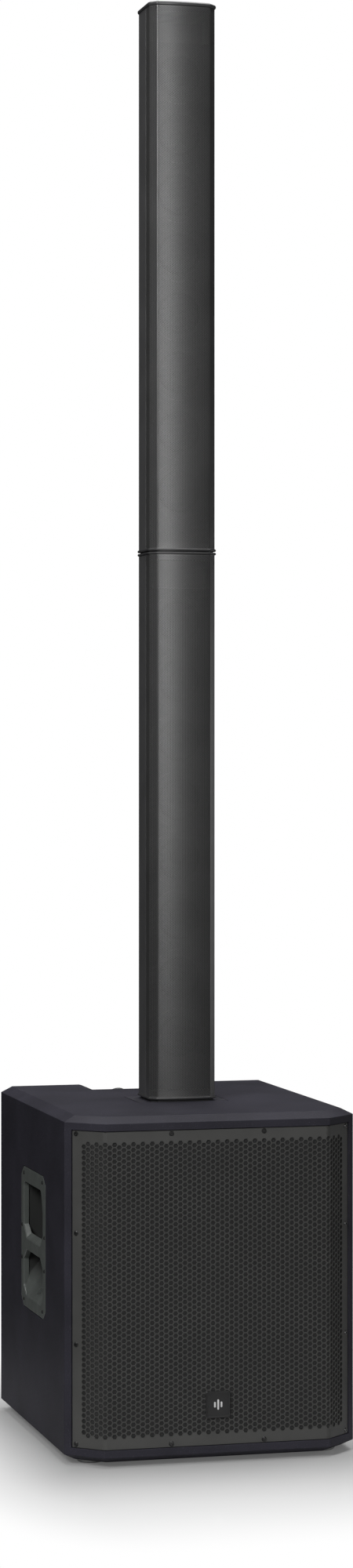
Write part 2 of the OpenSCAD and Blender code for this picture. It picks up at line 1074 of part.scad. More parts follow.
module column_cones() {
    color([0.08, 0.08, 0.08])
        driver_places()
            rotate_extrude()
                polygon([
                    [26.2, 2.6], [26.2, 1.4], [9.8, -17], [9.8, -37], [9.1, -37], [9.1, -16],
                    [0, -12.5], [0, -11.5], [10.5, -14.8], [25.2, 2.6]
                ]);
}

module lower_housing() {
    translate([0, 0, low_z])
        housing();
}

module lower_base_cap() {
    translate([0, 0, low_z])
        base_cap();
}

module lower_top_cap() {
    translate([0, 0, low_z])
        top_cap();
}

module lower_grille() {
    translate([0, 0, low_z])
        column_grille();
}

module lower_baffle() {
    translate([0, 0, low_z])
        column_baffle();
}

module lower_drivers() {
    translate([0, 0, low_z])
        column_drivers();
}

module lower_surrounds() {
    translate([0, 0, low_z])
        column_surrounds();
}

module lower_cones() {
    translate([0, 0, low_z])
        column_cones();
}

module upper_housing() {
    translate([0, 0, up_z])
        housing();
}

module upper_base_cap() {
    translate([0, 0, up_z])
        base_cap();
}

module upper_top_cap() {
    color([0.16, 0.16, 0.16])
        translate([0, 0, up_z]) {
            translate([0, 0, sec_h - 4])
                linear_extrude(6)
                    column_plan(-proud);
            translate([0, 0, sec_h + 2])
                linear_extrude(1.5)
                    column_plan(1);
            translate([0, 0, sec_h - 12])
                linear_extrude(8)
                    column_plan(skin + 0.1);
        }
}

module upper_grille() {
    translate([0, 0, up_z])
        column_grille();
}

module upper_baffle() {
    translate([0, 0, up_z])
        column_baffle();
}

module upper_drivers() {
    translate([0, 0, up_z])
        column_drivers();
}

module upper_surrounds() {
    translate([0, 0, up_z])
        column_surrounds();
}

module upper_cones() {
    translate([0, 0, up_z])
        column_cones();
}

// ---------------------------------------------------------------- drawing

left_side_panel();
right_side_panel();
top_panel();
bottom_panel();
back_panel();
baffle_board();
port_shelf();
grille_rails();
grille_foam();
front_grille();
grille_screws();
badge();
handle_left();
handle_right();
handle_screws();
cabinet_feet();
column_plate();
column_socket();
woofer_basket();
woofer_magnet();
woofer_plates();
woofer_screws();
woofer_spider();
woofer_surround();
woofer_cone();
voice_coil();
dust_cap();
amp_panel();
amp_heatsink();
amp_board();
mains_inlet();
power_rocker();
combo_jacks();
latch_tab_a();
latch_tab_b();
link_jacks();
panel_screws();
control_tray();
control_panel();
display_window();
encoder_shaft();
encoder_knob();
menu_button_a();
menu_button_b();
lower_housing();
lower_base_cap();
lower_top_cap();
lower_grille();
lower_baffle();
lower_drivers();
lower_surrounds();
lower_cones();
upper_housing();
upper_base_cap();
upper_top_cap();
upper_grille();
upper_baffle();
upper_drivers();
upper_surrounds();
upper_cones();
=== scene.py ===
"""PA speaker: a two-section column array that plugs into a powered bass cabinet.

Lengths are millimetres until a mesh is made. The front faces -Y and +Z is up.
"""
import json
import math

import bmesh
import bpy
from mathutils import Matrix, Vector


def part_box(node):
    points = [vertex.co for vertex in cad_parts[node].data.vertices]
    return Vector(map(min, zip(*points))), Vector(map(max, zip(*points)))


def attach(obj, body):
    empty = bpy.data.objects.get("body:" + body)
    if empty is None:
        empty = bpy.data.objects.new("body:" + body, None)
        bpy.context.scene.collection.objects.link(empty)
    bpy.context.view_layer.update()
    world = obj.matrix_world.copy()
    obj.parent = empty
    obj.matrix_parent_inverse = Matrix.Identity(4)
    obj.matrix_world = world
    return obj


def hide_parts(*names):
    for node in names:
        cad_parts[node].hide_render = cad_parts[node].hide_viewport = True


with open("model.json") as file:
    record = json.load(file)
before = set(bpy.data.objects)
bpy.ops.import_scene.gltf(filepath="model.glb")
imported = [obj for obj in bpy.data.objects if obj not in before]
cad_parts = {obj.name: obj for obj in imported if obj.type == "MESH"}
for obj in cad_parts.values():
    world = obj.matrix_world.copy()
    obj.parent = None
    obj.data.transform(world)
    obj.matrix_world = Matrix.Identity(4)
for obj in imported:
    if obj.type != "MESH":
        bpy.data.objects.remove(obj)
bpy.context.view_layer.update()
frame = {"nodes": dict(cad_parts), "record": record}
nodes = frame["nodes"]

MM = 0.001


def low(node):
    return [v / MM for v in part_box(node)[0]]


def high(node):
    return [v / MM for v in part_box(node)[1]]


# ------------------------------------------------------------------ camera

CAMERA_PLACE = (-1.3531, -5.1825, 1.0597)
CAMERA_TURN = -14.65
CAMERA_LENS = 79.82
CAMERA_SHIFT = -0.0263


def make_camera():
    data = bpy.data.cameras.new("camera")
    data.lens = CAMERA_LENS
    data.sensor_width = 36
    data.shift_y = CAMERA_SHIFT
    data.clip_end = 200
    camera = bpy.data.objects.new("camera", data)
    camera.location = CAMERA_PLACE
    camera.rotation_euler = (math.radians(90), 0, math.radians(CAMERA_TURN))
    bpy.context.scene.collection.objects.link(camera)
    bpy.context.scene.camera = camera


make_camera()

# ------------------------------------------------------------------ sizes from the frame

half_w = high("right_side_panel")[0]
front_y = low("top_panel")[1]
back_y = high("back_panel")[1]
back_in = low("back_panel")[1]
z_bot = low("bottom_panel")[2]
z_in0 = high("bottom_panel")[2]
z_in1 = low("top_panel")[2]
z_top = high("top_panel")[2]
wall = half_w - high("baffle_board")[0]
baffle_y = low("baffle_board")[1]

# Front corner facets and the bevels round the top and bottom edges
FACET_W, FACET_D = 50.0, 46.0
BEVEL_IN, BEVEL_H = 18.0, 9.0
# Painted border at the ends of the grille, and how deep the sheet lies
BORDER, RECESS = 12.0, 2.0

facet_turn = math.atan2(FACET_D, FACET_W)
facet_cos, facet_sin = math.cos(facet_turn), math.sin(facet_turn)
corner_x = half_w - FACET_W
side_y = front_y + FACET_D
rebate = (wall - BORDER * facet_cos) / facet_sin

# Side handles: the plate's centre and size, and the hand pocket behind it, from that centre
HANDLE_Y, HANDLE_Z = 9.5, 298.0
HANDLE_W, HANDLE_H = 171.5, 215.0
PLATE_T = 3.0
POCKET_HALF, POCKET_LOW, POCKET_HIGH = 75.0, -93.5, 91.0

notch_w = high("control_tray")[0]
notch_y = low("control_tray")[1]


def on_facet(s, d):
    """A point on the right front facet: s along it from the outer corner, d in from its face."""
    return (half_w - s * facet_cos - d * facet_sin, side_y - s * facet_sin + d * facet_cos)


def front_corner(d):
    return (corner_x - math.tan(facet_turn / 2) * d, front_y + d)


def flip(p):
    return (-p[0], p[1])


def footprint(inset):
    """The cabinet's plan, shrunk at the sides and the front, counter-clockwise from above."""
    side = math.tan((math.pi / 2 - facet_turn) / 2)
    a = (half_w - inset, side_y + side * inset)
    b = front_corner(inset)
    return [flip(a), flip(b), b, a, (half_w - inset, back_y), (inset - half_w, back_y)]


# ------------------------------------------------------------------ mesh helpers


def ring_at(outline, z):
    return [(x, y, z) for x, y in outline]


def loft(rings):
    """A closed solid through rings of equally many points, counter-clockwise seen from its end."""
    count = len(rings[0])
    verts = [p for ring in rings for p in ring]
    faces = [list(reversed(range(count)))]
    for level in range(len(rings) - 1):
        a, b = level * count, (level + 1) * count
        for i in range(count):
            j = (i + 1) % count
            faces.append([a + i, a + j, b + j, b + i])
    faces.append(list(range((len(rings) - 1) * count, len(rings) * count)))
    return verts, faces


def prism(outline, z0, z1):
    return loft([ring_at(outline, z0), ring_at(outline, z1)])


def rectangle(x0, x1, y0, y1):
    return [(x0, y0), (x1, y0), (x1, y1), (x0, y1)]


def block(x0, x1, y0, y1, z0, z1):
    return prism(rectangle(x0, x1, y0, y1), z0, z1)


def joined(*solids):
    verts, faces = [], []
    for v, f in solids:
        start = len(verts)
        verts += v
        faces += [[start + i for i in face] for face in f]
    return verts, faces


def moved(solid, place):
    """The solid with every point passed through place(x, y, z)."""
    return [tuple(place(*v)) for v in solid[0]], solid[1]


def rounded(corners, steps=4):
    """Points round a closed outline whose corners are (x, y, radius)."""
    points = []
    for i, (x, y, radius) in enumerate(corners):
        if radius <= 0:
            points.append((x, y))
            continue
        here = Vector((x, y))
        before = (Vector(corners[i - 1][:2]) - here).normalized()
        after = (Vector(corners[(i + 1) % len(corners)][:2]) - here).normalized()
        half = before.angle(after) / 2
        centre = here + (before + after).normalized() * (radius / math.sin(half))
        first = here + before * (radius / math.tan(half)) - centre
        last = here + after * (radius / math.tan(half)) - centre
        angle = math.atan2(first.y, first.x)
        sweep = (math.atan2(last.y, last.x) - angle + math.pi) % math.tau - math.pi
        for k in range(steps + 1):
            a = angle + sweep * k / steps
            points.append((centre.x + radius * math.cos(a), centre.y + radius * math.sin(a)))
    return points


def inset_corners(corners, d):
    """A convex or gently dented polygon with every side moved inwards by d (counter-clockwise)."""
    result = []
    count = len(corners)
    for i in range(count):
        p, q, r = (Vector(corners[k % count][:2]) for k in (i - 1, i, i + 1))
        u, w = (q - p).normalized(), (r - q).normalized()
        n1, n2 = Vector((-u.y, u.x)), Vector((-w.y, w.x))
        shift = (n1 + n2) * (d / (1 + n1.dot(n2)))
        result.append((q.x + shift.x, q.y + shift.y) + tuple(corners[i][2:]))
    return result


def piece(name, solid, fix_normals=True):
    """A new object from a solid in millimetres."""
    mesh = bpy.data.meshes.new(name)
    mesh.from_pydata([(x * MM, y * MM, z * MM) for x, y, z in solid[0]], [], solid[1])
    if fix_normals:
        edit = bmesh.new()
        edit.from_mesh(mesh)
        bmesh.ops.recalc_face_normals(edit, faces=edit.faces)
        edit.to_mesh(mesh)
        edit.free()
    ob = bpy.data.objects.new(name, mesh)
    bpy.context.scene.collection.objects.link(ob)
    return ob


def settle(ob):
    """Applies the object's modifiers to its mesh."""
    bpy.context.view_layer.update()
    found = ob.evaluated_get(bpy.context.evaluated_depsgraph_get())
    mesh = bpy.data.meshes.new_from_object(found)
    old = ob.data
    ob.modifiers.clear()
    ob.data = mesh
    bpy.data.meshes.remove(old)
    mesh.name = ob.name


def combine(ob, solid, operation):
    tool = piece("tool", solid)
    change = ob.modifiers.new("change", "BOOLEAN")
    change.operation = operation
    change.solver = "EXACT"
    change.object = tool
    settle(ob)
    bpy.data.objects.remove(tool)


def cut(ob, *solids):
    for solid in solids:
        combine(ob, solid, "DIFFERENCE")


def add(ob, *solids):
    for solid in solids:
        combine(ob, solid, "UNION")


def shade(ob, angle=35, weighted=False):
    """Smooth shading up to the given angle between faces."""
    ob.data.shade_smooth()
    ob.data.set_sharp_from_angle(angle=math.radians(angle))
    if weighted:
        even = ob.modifiers.new("even", "WEIGHTED_NORMAL")
        even.keep_sharp = True
        settle(ob)


def soften(ob, width, segments=2, angle=20):
    """Rounds every edge sharper than the given angle."""
    clean = bmesh.new()
    clean.from_mesh(ob.data)
    bmesh.ops.remove_doubles(clean, verts=clean.verts, dist=0.00001)
    bmesh.ops.dissolve_limit(clean, angle_limit=math.radians(0.5), verts=clean.verts, edges=clean.edges)
    clean.to_mesh(ob.data)
    clean.free()
    edges = ob.modifiers.new("edges", "BEVEL")
    edges.width = width * MM
    edges.segments = segments
    edges.limit_method = "ANGLE"
    edges.angle_limit = math.radians(angle)
    edges.use_clamp_overlap = True
    settle(ob)
    shade(ob, 40, weighted=True)


def finish(ob, material, body, *stands_for):
    """Gives a piece its material and its body, and hides the CAD nodes that it replaces."""
    ob.data.materials.clear()
    ob.data.materials.append(material)
    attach(ob, body)
    if stands_for:
        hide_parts(*stands_for)


def mirrored(ob, name):
    """A copy of the object on the other side of the cabinet."""
    mesh = ob.data.copy()
    mesh.transform(Matrix.Scale(-1, 4, (1, 0, 0)))
    mesh.flip_normals()
    mesh.name = name
    copy = bpy.data.objects.new(name, mesh)
    bpy.context.scene.collection.objects.link(copy)
    return copy


# ------------------------------------------------------------------ material helpers


def new_material(slot, metallic=0.0, specular=0.5, coat=0.0, sheen=0.0):
    """A material with its node tree and shader; the fixed numbers go on the shader's own sockets."""
    material = bpy.data.materials.new(slot)
    material["slot"] = slot
    material.use_nodes = True
    tree = material.node_tree
    shader = tree.nodes["Principled BSDF"]
    shader.inputs["Metallic"].default_value = metallic
    shader.inputs["Specular IOR Level"].default_value = specular
    shader.inputs["Coat Weight"].default_value = coat
    shader.inputs["Coat Roughness"].default_value = 0.15
    shader.inputs["Sheen Weight"].default_value = sheen
    shader.inputs["Sheen Roughness"].default_value = 0.4
    return material, tree, shader


def node(tree, kind, inputs=None, **settings):
    made = tree.nodes.new("ShaderNode" + kind)
    for key, value in settings.items():
        setattr(made, key, value)
    for key, value in (inputs or {}).items():
        if isinstance(value, bpy.types.NodeSocket):
            tree.links.new(value, made.inputs[key])
        else:
            made.inputs[key].default_value = value
    return made


def places(tree, stretch=(1, 1, 1)):
    """Object coordinates in metres, stretched."""
    found = node(tree, "TexCoord").outputs["Object"]
    if stretch == (1, 1, 1):
        return found
    return node(tree, "Mapping", {"Vector": found, "Scale": stretch}).outputs["Vector"]


def noise(tree, at, size, detail=3.0, roughness=0.55):
    """Noise from 0 to 1 whose blotches are about size millimetres across."""
    inputs = {"Vector": at, "Scale": 1 / (size * MM), "Detail": detail, "Roughness": roughness}
    return node(tree, "TexNoise", inputs).outputs["Fac"]


def cells(tree, at, size, feature="F1"):
    inputs = {"Vector": at, "Scale": 1 / (size * MM)}
    return node(tree, "TexVoronoi", inputs, feature=feature).outputs["Distance"]


def spread(tree, value, low_in, high_in, low_out, high_out):
    """Maps a value from one span onto another, held at both ends."""
    inputs = {"Value": value, "From Min": low_in, "From Max": high_in}
    inputs.update({"To Min": low_out, "To Max": high_out})
    return node(tree, "MapRange", inputs).outputs["Result"]


def maths(tree, operation, *values):
    return node(tree, "Math", dict(enumerate(values)), operation=operation).outputs[0]


def vector_maths(tree, operation, *values):
    return node(tree, "VectorMath", dict(enumerate(values)), operation=operation).outputs


def axis(tree, at, name):
    return node(tree, "SeparateXYZ", {"Vector": at}).outputs[name]


def blend(tree, factor, first, second):
    made = node(tree, "Mix", data_type="RGBA")
    for socket, value in ((0, factor), (6, first), (7, second)):
        if isinstance(value, bpy.types.NodeSocket):
            tree.links.new(value, made.inputs[socket])
        else:
            made.inputs[socket].default_value = value if socket == 0 else (*value[:3], 1)
    return made.outputs[2]


def total(tree, first, second, share=1.0):
    """first + second * share."""
    return maths(tree, "MULTIPLY_ADD", second, share, first)


def relief(tree, shader, height, depth, strength=1.0):
    """Bump from a height that runs from 0 to 1, depth millimetres deep."""
    inputs = {"Height": height, "Distance": depth * MM, "Strength": strength}
    tree.links.new(node(tree, "Bump", inputs).outputs["Normal"], shader.inputs["Normal"])


def connect(tree, shader, colour, roughness):
    tree.links.new(colour, shader.inputs["Base Color"])
    tree.links.new(roughness, shader.inputs["Roughness"])


def tinted(tree, factor, colour, amount):
    """The colour from a little darker to a little lighter as the factor goes from 0 to 1."""
    dark = [c * (1 - amount) for c in colour]
    light = [min(1, c * (1 + amount)) for c in colour]
    return blend(tree, factor, dark, light)


# ------------------------------------------------------------------ materials


def inside_cabinet(tree, at):
    """1 on surfaces that look into the closed cabinet, 0 outside it."""
    first = Vector((wall - half_w, baffle_y, z_in0)) * MM
    last = Vector((half_w - wall, back_in, z_in1)) * MM
    offset = vector_maths(tree, "SUBTRACT", at, (first + last) / 2)[0]
    size = vector_maths(tree, "ABSOLUTE", offset)[0]
    past = vector_maths(tree, "SUBTRACT", size, (last - first) / 2)[0]
    most = maths(tree, "MAXIMUM", axis(tree, past, "X"), axis(tree, past, "Y"))
    most = maths(tree, "MAXIMUM", most, axis(tree, past, "Z"))
    return spread(tree, most, 0.1 * MM, 0.3 * MM, 1, 0)


def structured_paint(slot, colour, rough=0.62, grain=1.5, depth=0.14, flecks=0.5):
    """Sprayed texture coat: rounded grains, finer grit, a few pale grains; raw board inside."""
    material, tree, shader = new_material(slot, specular=0.2)
    at = places(tree)
    grains = cells(tree, at, grain, "SMOOTH_F1")
    grit = noise(tree, at, grain * 0.35)
    swell = noise(tree, at, grain * 3)
    base = tinted(tree, spread(tree, noise(tree, at, 90, 2), 0.35, 0.65, 0, 1), colour, 0.16)
    fleck = spread(tree, noise(tree, at, grain * 0.9, 1), 0.66, 0.74, 0, flecks)
    base = blend(tree, fleck, base, [c * 2.6 + 0.03 for c in colour])
    grain_wood = noise(tree, places(tree, (1, 0.06, 1)), 5, 5, 0.65)
    board = blend(tree, grain_wood, (0.3, 0.21, 0.12), (0.5, 0.37, 0.22))
    base = blend(tree, inside_cabinet(tree, at), base, board)
    connect(tree, shader, base, spread(tree, grit, 0.3, 0.7, rough - 0.1, rough + 0.12))
    relief(tree, shader, total(tree, total(tree, grains, grit, 0.35), swell, 0.5), depth)
    return material


def powder_coat(slot, colour, rough=0.42, peel=0.9, depth=0.03, specular=0.5):
    """Powder coat: faint orange peel, slight cloudiness."""
    material, tree, shader = new_material(slot, specular=specular)
    at = places(tree)
    skin = noise(tree, at, peel, 2)
    base = tinted(tree, spread(tree, noise(tree, at, 60, 3), 0.35, 0.65, 0, 1), colour, 0.1)
    connect(tree, shader, base, spread(tree, skin, 0.3, 0.7, rough - 0.05, rough + 0.06))
    relief(tree, shader, skin, depth)
    return material


def moulding(slot, colour, rough=0.5, grain=0.5, depth=0.04, specular=0.5, coat=0.0):
    """Moulded plastic: spark-eroded grain, handling gloss in soft patches."""
    material, tree, shader = new_material(slot, specular=specular, coat=coat)
    at = places(tree)
    fine = noise(tree, at, grain, 4, 0.6)
    patches = spread(tree, noise(tree, at, 35, 2), 0.3, 0.7, 0, 1)
    connect(tree, shader, tinted(tree, patches, colour, 0.12),
            total(tree, spread(tree, patches, 0, 1, rough + 0.05, rough - 0.06), fine, 0.06))
    relief(tree, shader, fine, depth)
    return material


def handle_moulding(slot, colour):
    """Grained plastic; the inside of the hand pocket above its curved floor is painted near black, as
    painted shade.
    """
    material, tree, shader = new_material(slot)
    at = places(tree)
    grain = noise(tree, at, 0.7, 4, 0.6)
    patches = spread(tree, noise(tree, at, 35, 2), 0.3, 0.7, 0, 1)
    across = maths(tree, "ABSOLUTE", axis(tree, at, "X"))
    deep = spread(tree, across, (half_w - 9.4) * MM, (half_w - 8.8) * MM, 1, 0)
    high_up = spread(tree, axis(tree, at, "Z"), (HANDLE_Z - 72) * MM, (HANDLE_Z - 50) * MM, 0, 1)
    # painted shade: the deep part of the pocket above its floor is coloured near black and made a little
    # rougher
    painted_pocket_shade = maths(tree, "MULTIPLY", deep, high_up)
    base = blend(tree, painted_pocket_shade, tinted(tree, patches, colour, 0.1), (0.014, 0.015, 0.014))
    connect(tree, shader, base, total(tree, spread(tree, patches, 0, 1, 0.46, 0.34), painted_pocket_shade, 0.3))
    relief(tree, shader, grain, 0.04)
    return material


def turned_metal(slot, colour, rough=0.3, stretch=(1, 1, 14), depth=0.01, tint=0.12):
    """Plated or machined metal with fine lines along one direction."""
    material, tree, shader = new_material(slot, metallic=1.0)
    lines = noise(tree, places(tree, stretch), 1.2, 4, 0.7)
    cloud = noise(tree, places(tree), 14, 3)
    connect(tree, shader, tinted(tree, cloud, colour, tint),
            spread(tree, lines, 0.3, 0.7, rough - 0.08, rough + 0.12))
    relief(tree, shader, lines, depth)
    return material


def open_foam(slot, colour):
    """Reticulated foam: small pores whose bottoms are darkened as painted shade."""
    material, tree, shader = new_material(slot, specular=0.1, sheen=0.1)
    at = places(tree)
    pores = cells(tree, at, 1.1)
    # painted shade: the colour darkens towards the bottom of each pore
    base = blend(tree, spread(tree, pores, 0.1, 0.6, 0, 1), [c * 0.3 for c in colour], colour)
    connect(tree, shader, base, spread(tree, noise(tree, at, 5), 0.3, 0.7, 0.85, 1.0))
    relief(tree, shader, pores, 0.5)
    return material


def rubber(slot, colour, rough=0.7, specular=0.3):
    material, tree, shader = new_material(slot, specular=specular)
    at = places(tree)
    dust = noise(tree, at, 6, 4, 0.7)
    connect(tree, shader, tinted(tree, dust, colour, 0.2),
            spread(tree, dust, 0.3, 0.7, rough - 0.1, rough + 0.1))
    relief(tree, shader, noise(tree, at, 0.6), 0.03)
    return material


def grained(slot, colour, grain, tint, rough, depth, **settings):
    """A material whose colour, gloss and relief follow one grain: (stretch, size, roughness)."""
    material, tree, shader = new_material(slot, **settings)
    stretch, size, harsh = grain
    lines = noise(tree, places(tree, stretch), size, 5, harsh)
    connect(tree, shader, tinted(tree, lines, colour, tint), spread(tree, lines, 0.3, 0.7, *rough))
    relief(tree, shader, lines, depth)
    return material


def paper_cone(slot, colour):
    """Pressed paper with short fibres under a thin coating."""
    fibres = ((1, 1, 0.35), 1.0, 0.7)
    return grained(slot, colour, fibres, 0.35, (0.5, 0.75), 0.12, specular=0.35)


def woven_cloth(slot, colour):
    """Resin-stiffened cloth: two crossed sets of threads."""
    material, tree, shader = new_material(slot, specular=0.3, sheen=0.2)
    at = places(tree)
    thread = {"Vector": at, "Scale": 500.0, "Distortion": 0.4}
    threads = [node(tree, "TexWave", thread, bands_direction=way).outputs["Fac"] for way in "XZ"]
    weave = maths(tree, "MAXIMUM", *threads)
    connect(tree, shader, tinted(tree, weave, colour, 0.3),
            spread(tree, noise(tree, at, 4), 0.3, 0.7, 0.6, 0.8))
    relief(tree, shader, weave, 0.15)
    return material


def plywood(slot, colour):
    """Birch board: long grain on the faces."""
    return grained(slot, colour, ((1, 0.06, 1), 5, 0.65), 0.3, (0.55, 0.75), 0.08, specular=0.3)


def stained_board(slot, colour):
    """Black-stained board: the grain runs across the cabinet."""
    return grained(slot, colour, ((0.08, 1, 1), 3, 0.65), 0.35, (0.6, 0.85), 0.06, specular=0.25)


def ferrite(slot, colour):
    """Sintered magnet: dark grey, slightly metallic grain."""
    return grained(slot, colour, ((1, 1, 1), 0.8, 0.7), 0.25, (0.5, 0.8), 0.08, metallic=0.4)


def circuit_board(slot, colour):
    """Green board: tracks in its plane, and a dark colour for the parts that stand on it."""
    material, tree, shader = new_material(slot, specular=0.5)
    at = places(tree)
    tracks = cells(tree, at, 9, "DISTANCE_TO_EDGE")
    track = spread(tree, tracks, 0.05, 0.09, 1, 0)
    base = blend(tree, track, colour, [c * 1.8 for c in colour])
    board_face = low("amp_board")[1] + 1.6
    is_part = spread(tree, axis(tree, at, "Y"), (board_face + 0.6) * MM, (board_face + 1) * MM, 0, 1)
    parts = blend(tree, noise(tree, at, 20, 1), (0.02, 0.02, 0.025), (0.06, 0.05, 0.03))
    connect(tree, shader, blend(tree, is_part, base, parts),
            spread(tree, noise(tree, at, 3), 0.3, 0.7, 0.3, 0.5))
    relief(tree, shader, track, 0.04)
    return material


def display_glass(slot, colour):
    """Dark clear window with smears; its lighter patches are a painted glow of a panel behind it."""
    material, tree, shader = new_material(slot, specular=0.6, coat=1.0)
    at = places(tree)
    smear_and_glow = noise(tree, at, 12, 3)
    # painted glow: the colour lightens with the smear noise, as if a panel behind the window were lit
    connect(tree, shader, blend(tree, smear_and_glow, colour, [c * 1.6 for c in colour]),
            spread(tree, smear_and_glow, 0.3, 0.7, 0.04, 0.14))
    relief(tree, shader, smear_and_glow, 0.004)
    return material


def column_seat(slot, colour):
    """The plate under the column: structured paint, with the raised pad painted near black as painted shade
    under the column's base ring.
    """
    material, tree, shader = new_material(slot)
    at = places(tree)
    grains = cells(tree, at, 1.6, "SMOOTH_F1")
    # painted shade: the raised pad under the base ring is coloured near black
    painted_shade_pad = spread(tree, axis(tree, at, "Z"), (z_top + 0.1) * MM, (z_top + 0.3) * MM, 0, 1)
    base = tinted(tree, noise(tree, at, 40), colour, 0.15)
    connect(tree, shader, blend(tree, painted_shade_pad, base, (0.004, 0.004, 0.004)),
            total(tree, spread(tree, noise(tree, at, 0.6), 0.3, 0.7, 0.42, 0.6), painted_shade_pad, 0.25))
    relief(tree, shader, grains, 0.2)
    return material


PAINT = (0.02, 0.019, 0.0265)
materials = {
    m["slot"]: m for m in (
        structured_paint("cabinet_paint", PAINT),
        stained_board("baffle_black", (0.012, 0.012, 0.012)),
        plywood("raw_board", (0.42, 0.3, 0.17)),
        powder_coat("grille_steel", (0.042, 0.042, 0.04), rough=0.55),
        open_foam("foam", (0.034, 0.034, 0.034)),
        powder_coat("screw_black", (0.012, 0.012, 0.012), rough=0.3, peel=0.4),
        moulding("badge_plastic", (0.006, 0.006, 0.006), rough=0.3, depth=0.005),
        handle_moulding("handle_plastic", (0.078, 0.086, 0.081)),
        rubber("rubber", (0.4, 0.4, 0.4)),
        column_seat("plate_paint", PAINT),
        moulding("socket_plastic", (0.01, 0.01, 0.01)),
        powder_coat("cast_frame", (0.02, 0.02, 0.02), rough=0.5, peel=1.4, depth=0.08),
        ferrite("ferrite", (0.04, 0.04, 0.042)),
        turned_metal("plated_steel", (0.55, 0.55, 0.57)),
        woven_cloth("impregnated_cloth", (0.4, 0.25, 0.08)),
        rubber("roll_rubber", (0.01, 0.01, 0.01), rough=0.5),
        paper_cone("cone_paper", (0.014, 0.014, 0.014)),
        turned_metal("copper", (0.72, 0.35, 0.16), rough=0.35, stretch=(1, 14, 1)),
        powder_coat("amp_paint", (0.018, 0.018, 0.019), rough=0.48, peel=0.7, depth=0.04),
        turned_metal("heatsink_black", (0.075, 0.075, 0.078), rough=0.42, stretch=(10, 10, 0.3), depth=0.02),
        circuit_board("circuit_board", (0.02, 0.1, 0.035)),
        moulding("connector_black", (0.013, 0.013, 0.013), rough=0.4, grain=0.3, depth=0.02),
        moulding("rocker_red", (0.4, 0.012, 0.01), rough=0.3, grain=0.3, depth=0.01, coat=0.2),
        turned_metal("latch_metal", (0.62, 0.62, 0.64), rough=0.25, stretch=(10, 1, 1)),
        turned_metal("screw_zinc", (0.42, 0.42, 0.43), rough=0.32),
        display_glass("display", (0.008, 0.012, 0.018)),
        turned_metal("shaft_steel", (0.6, 0.6, 0.62), rough=0.25),
        moulding("knob_plastic", (0.016, 0.016, 0.016), rough=0.45, grain=0.4, depth=0.03),
        moulding("button_plastic", (0.07, 0.07, 0.073), rough=0.5, grain=0.3),
        powder_coat("column_aluminium", (0.055, 0.055, 0.056), rough=0.42, peel=0.8, depth=0.02),
        moulding("column_cap", (0.03, 0.03, 0.031), rough=0.33, grain=0.4, depth=0.015),
        powder_coat("column_grille", (0.038, 0.038, 0.038), rough=0.32, peel=0.5, depth=0.004, specular=0.9),
        moulding("driver_black", (0.014, 0.014, 0.014), rough=0.45),
        powder_coat("column_baffle", (0.012, 0.012, 0.012), rough=0.55),
    )
}


def dress_cad_nodes():
    """Every CAD node gets the material of its slot in the record."""
    for part in frame["record"]["subparts"]:
        ob = nodes[part["node"]]
        ob.data.materials.clear()
        ob.data.materials.append(materials[part["material_slot"]])


dress_cad_nodes()

# ------------------------------------------------------------------ cabinet shell

BOARDS = ("left_side_panel", "right_side_panel", "top_panel", "bottom_panel", "back_panel")


def handle_place(depth, y, z):
    """From depth behind the plate's face, and y and z from its centre, to the left side."""
    return depth - half_w, HANDLE_Y + y, HANDLE_Z + z


def sideways(rings):
    """A solid through outlines in (y, z), each at its own depth."""
    return moved(loft([[(d, y, z) for y, z in outline] for d, outline in rings]), handle_place)


def plate_corners():
    a, b = HANDLE_W / 2, HANDLE_H / 2
    return [(a - 17, -b, 6), (a, 13 - b, 6), (a, b - 13, 6), (a - 17, b, 6),
            (17 - a, b, 6), (-a, b - 13, 6), (-a, 13 - b, 6), (17 - a, -b, 6)]


def cabinet_solid():
    levels = ((BEVEL_IN, z_bot), (0, z_bot + BEVEL_H), (0, z_top - BEVEL_H), (BEVEL_IN, z_top))
    return loft([ring_at(footprint(inset), z) for inset, z in levels])


def cavity_solid():
    out = 5
    right = [front_corner(-out), on_facet(BORDER, -out), on_facet(BORDER, rebate),
             (half_w - wall, back_in)]
    left = [flip(p) for p in reversed(right)]
    return prism(left + right, z_in0, z_in1)


def foot_places():
    lo, hi = low("cabinet_feet"), high("cabinet_feet")
    radius = 20
    return [(x, y) for x in (lo[0] + radius, hi[0] - radius) for y in (lo[1] + radius, hi[1] - radius)]


def disc(x, y, radius, steps=32):
    return [(x + radius * math.cos(math.tau * i / steps), y + radius * math.sin(math.tau * i / steps))
            for i in range(steps)]


def well(part, gap, z0, z1):
    """A cutter round a CAD node's plan, wider by gap on every side."""
    lo, hi = low(part), high(part)
    return block(lo[0] - gap, hi[0] + gap, lo[1] - gap, hi[1] + gap, z0, z1)


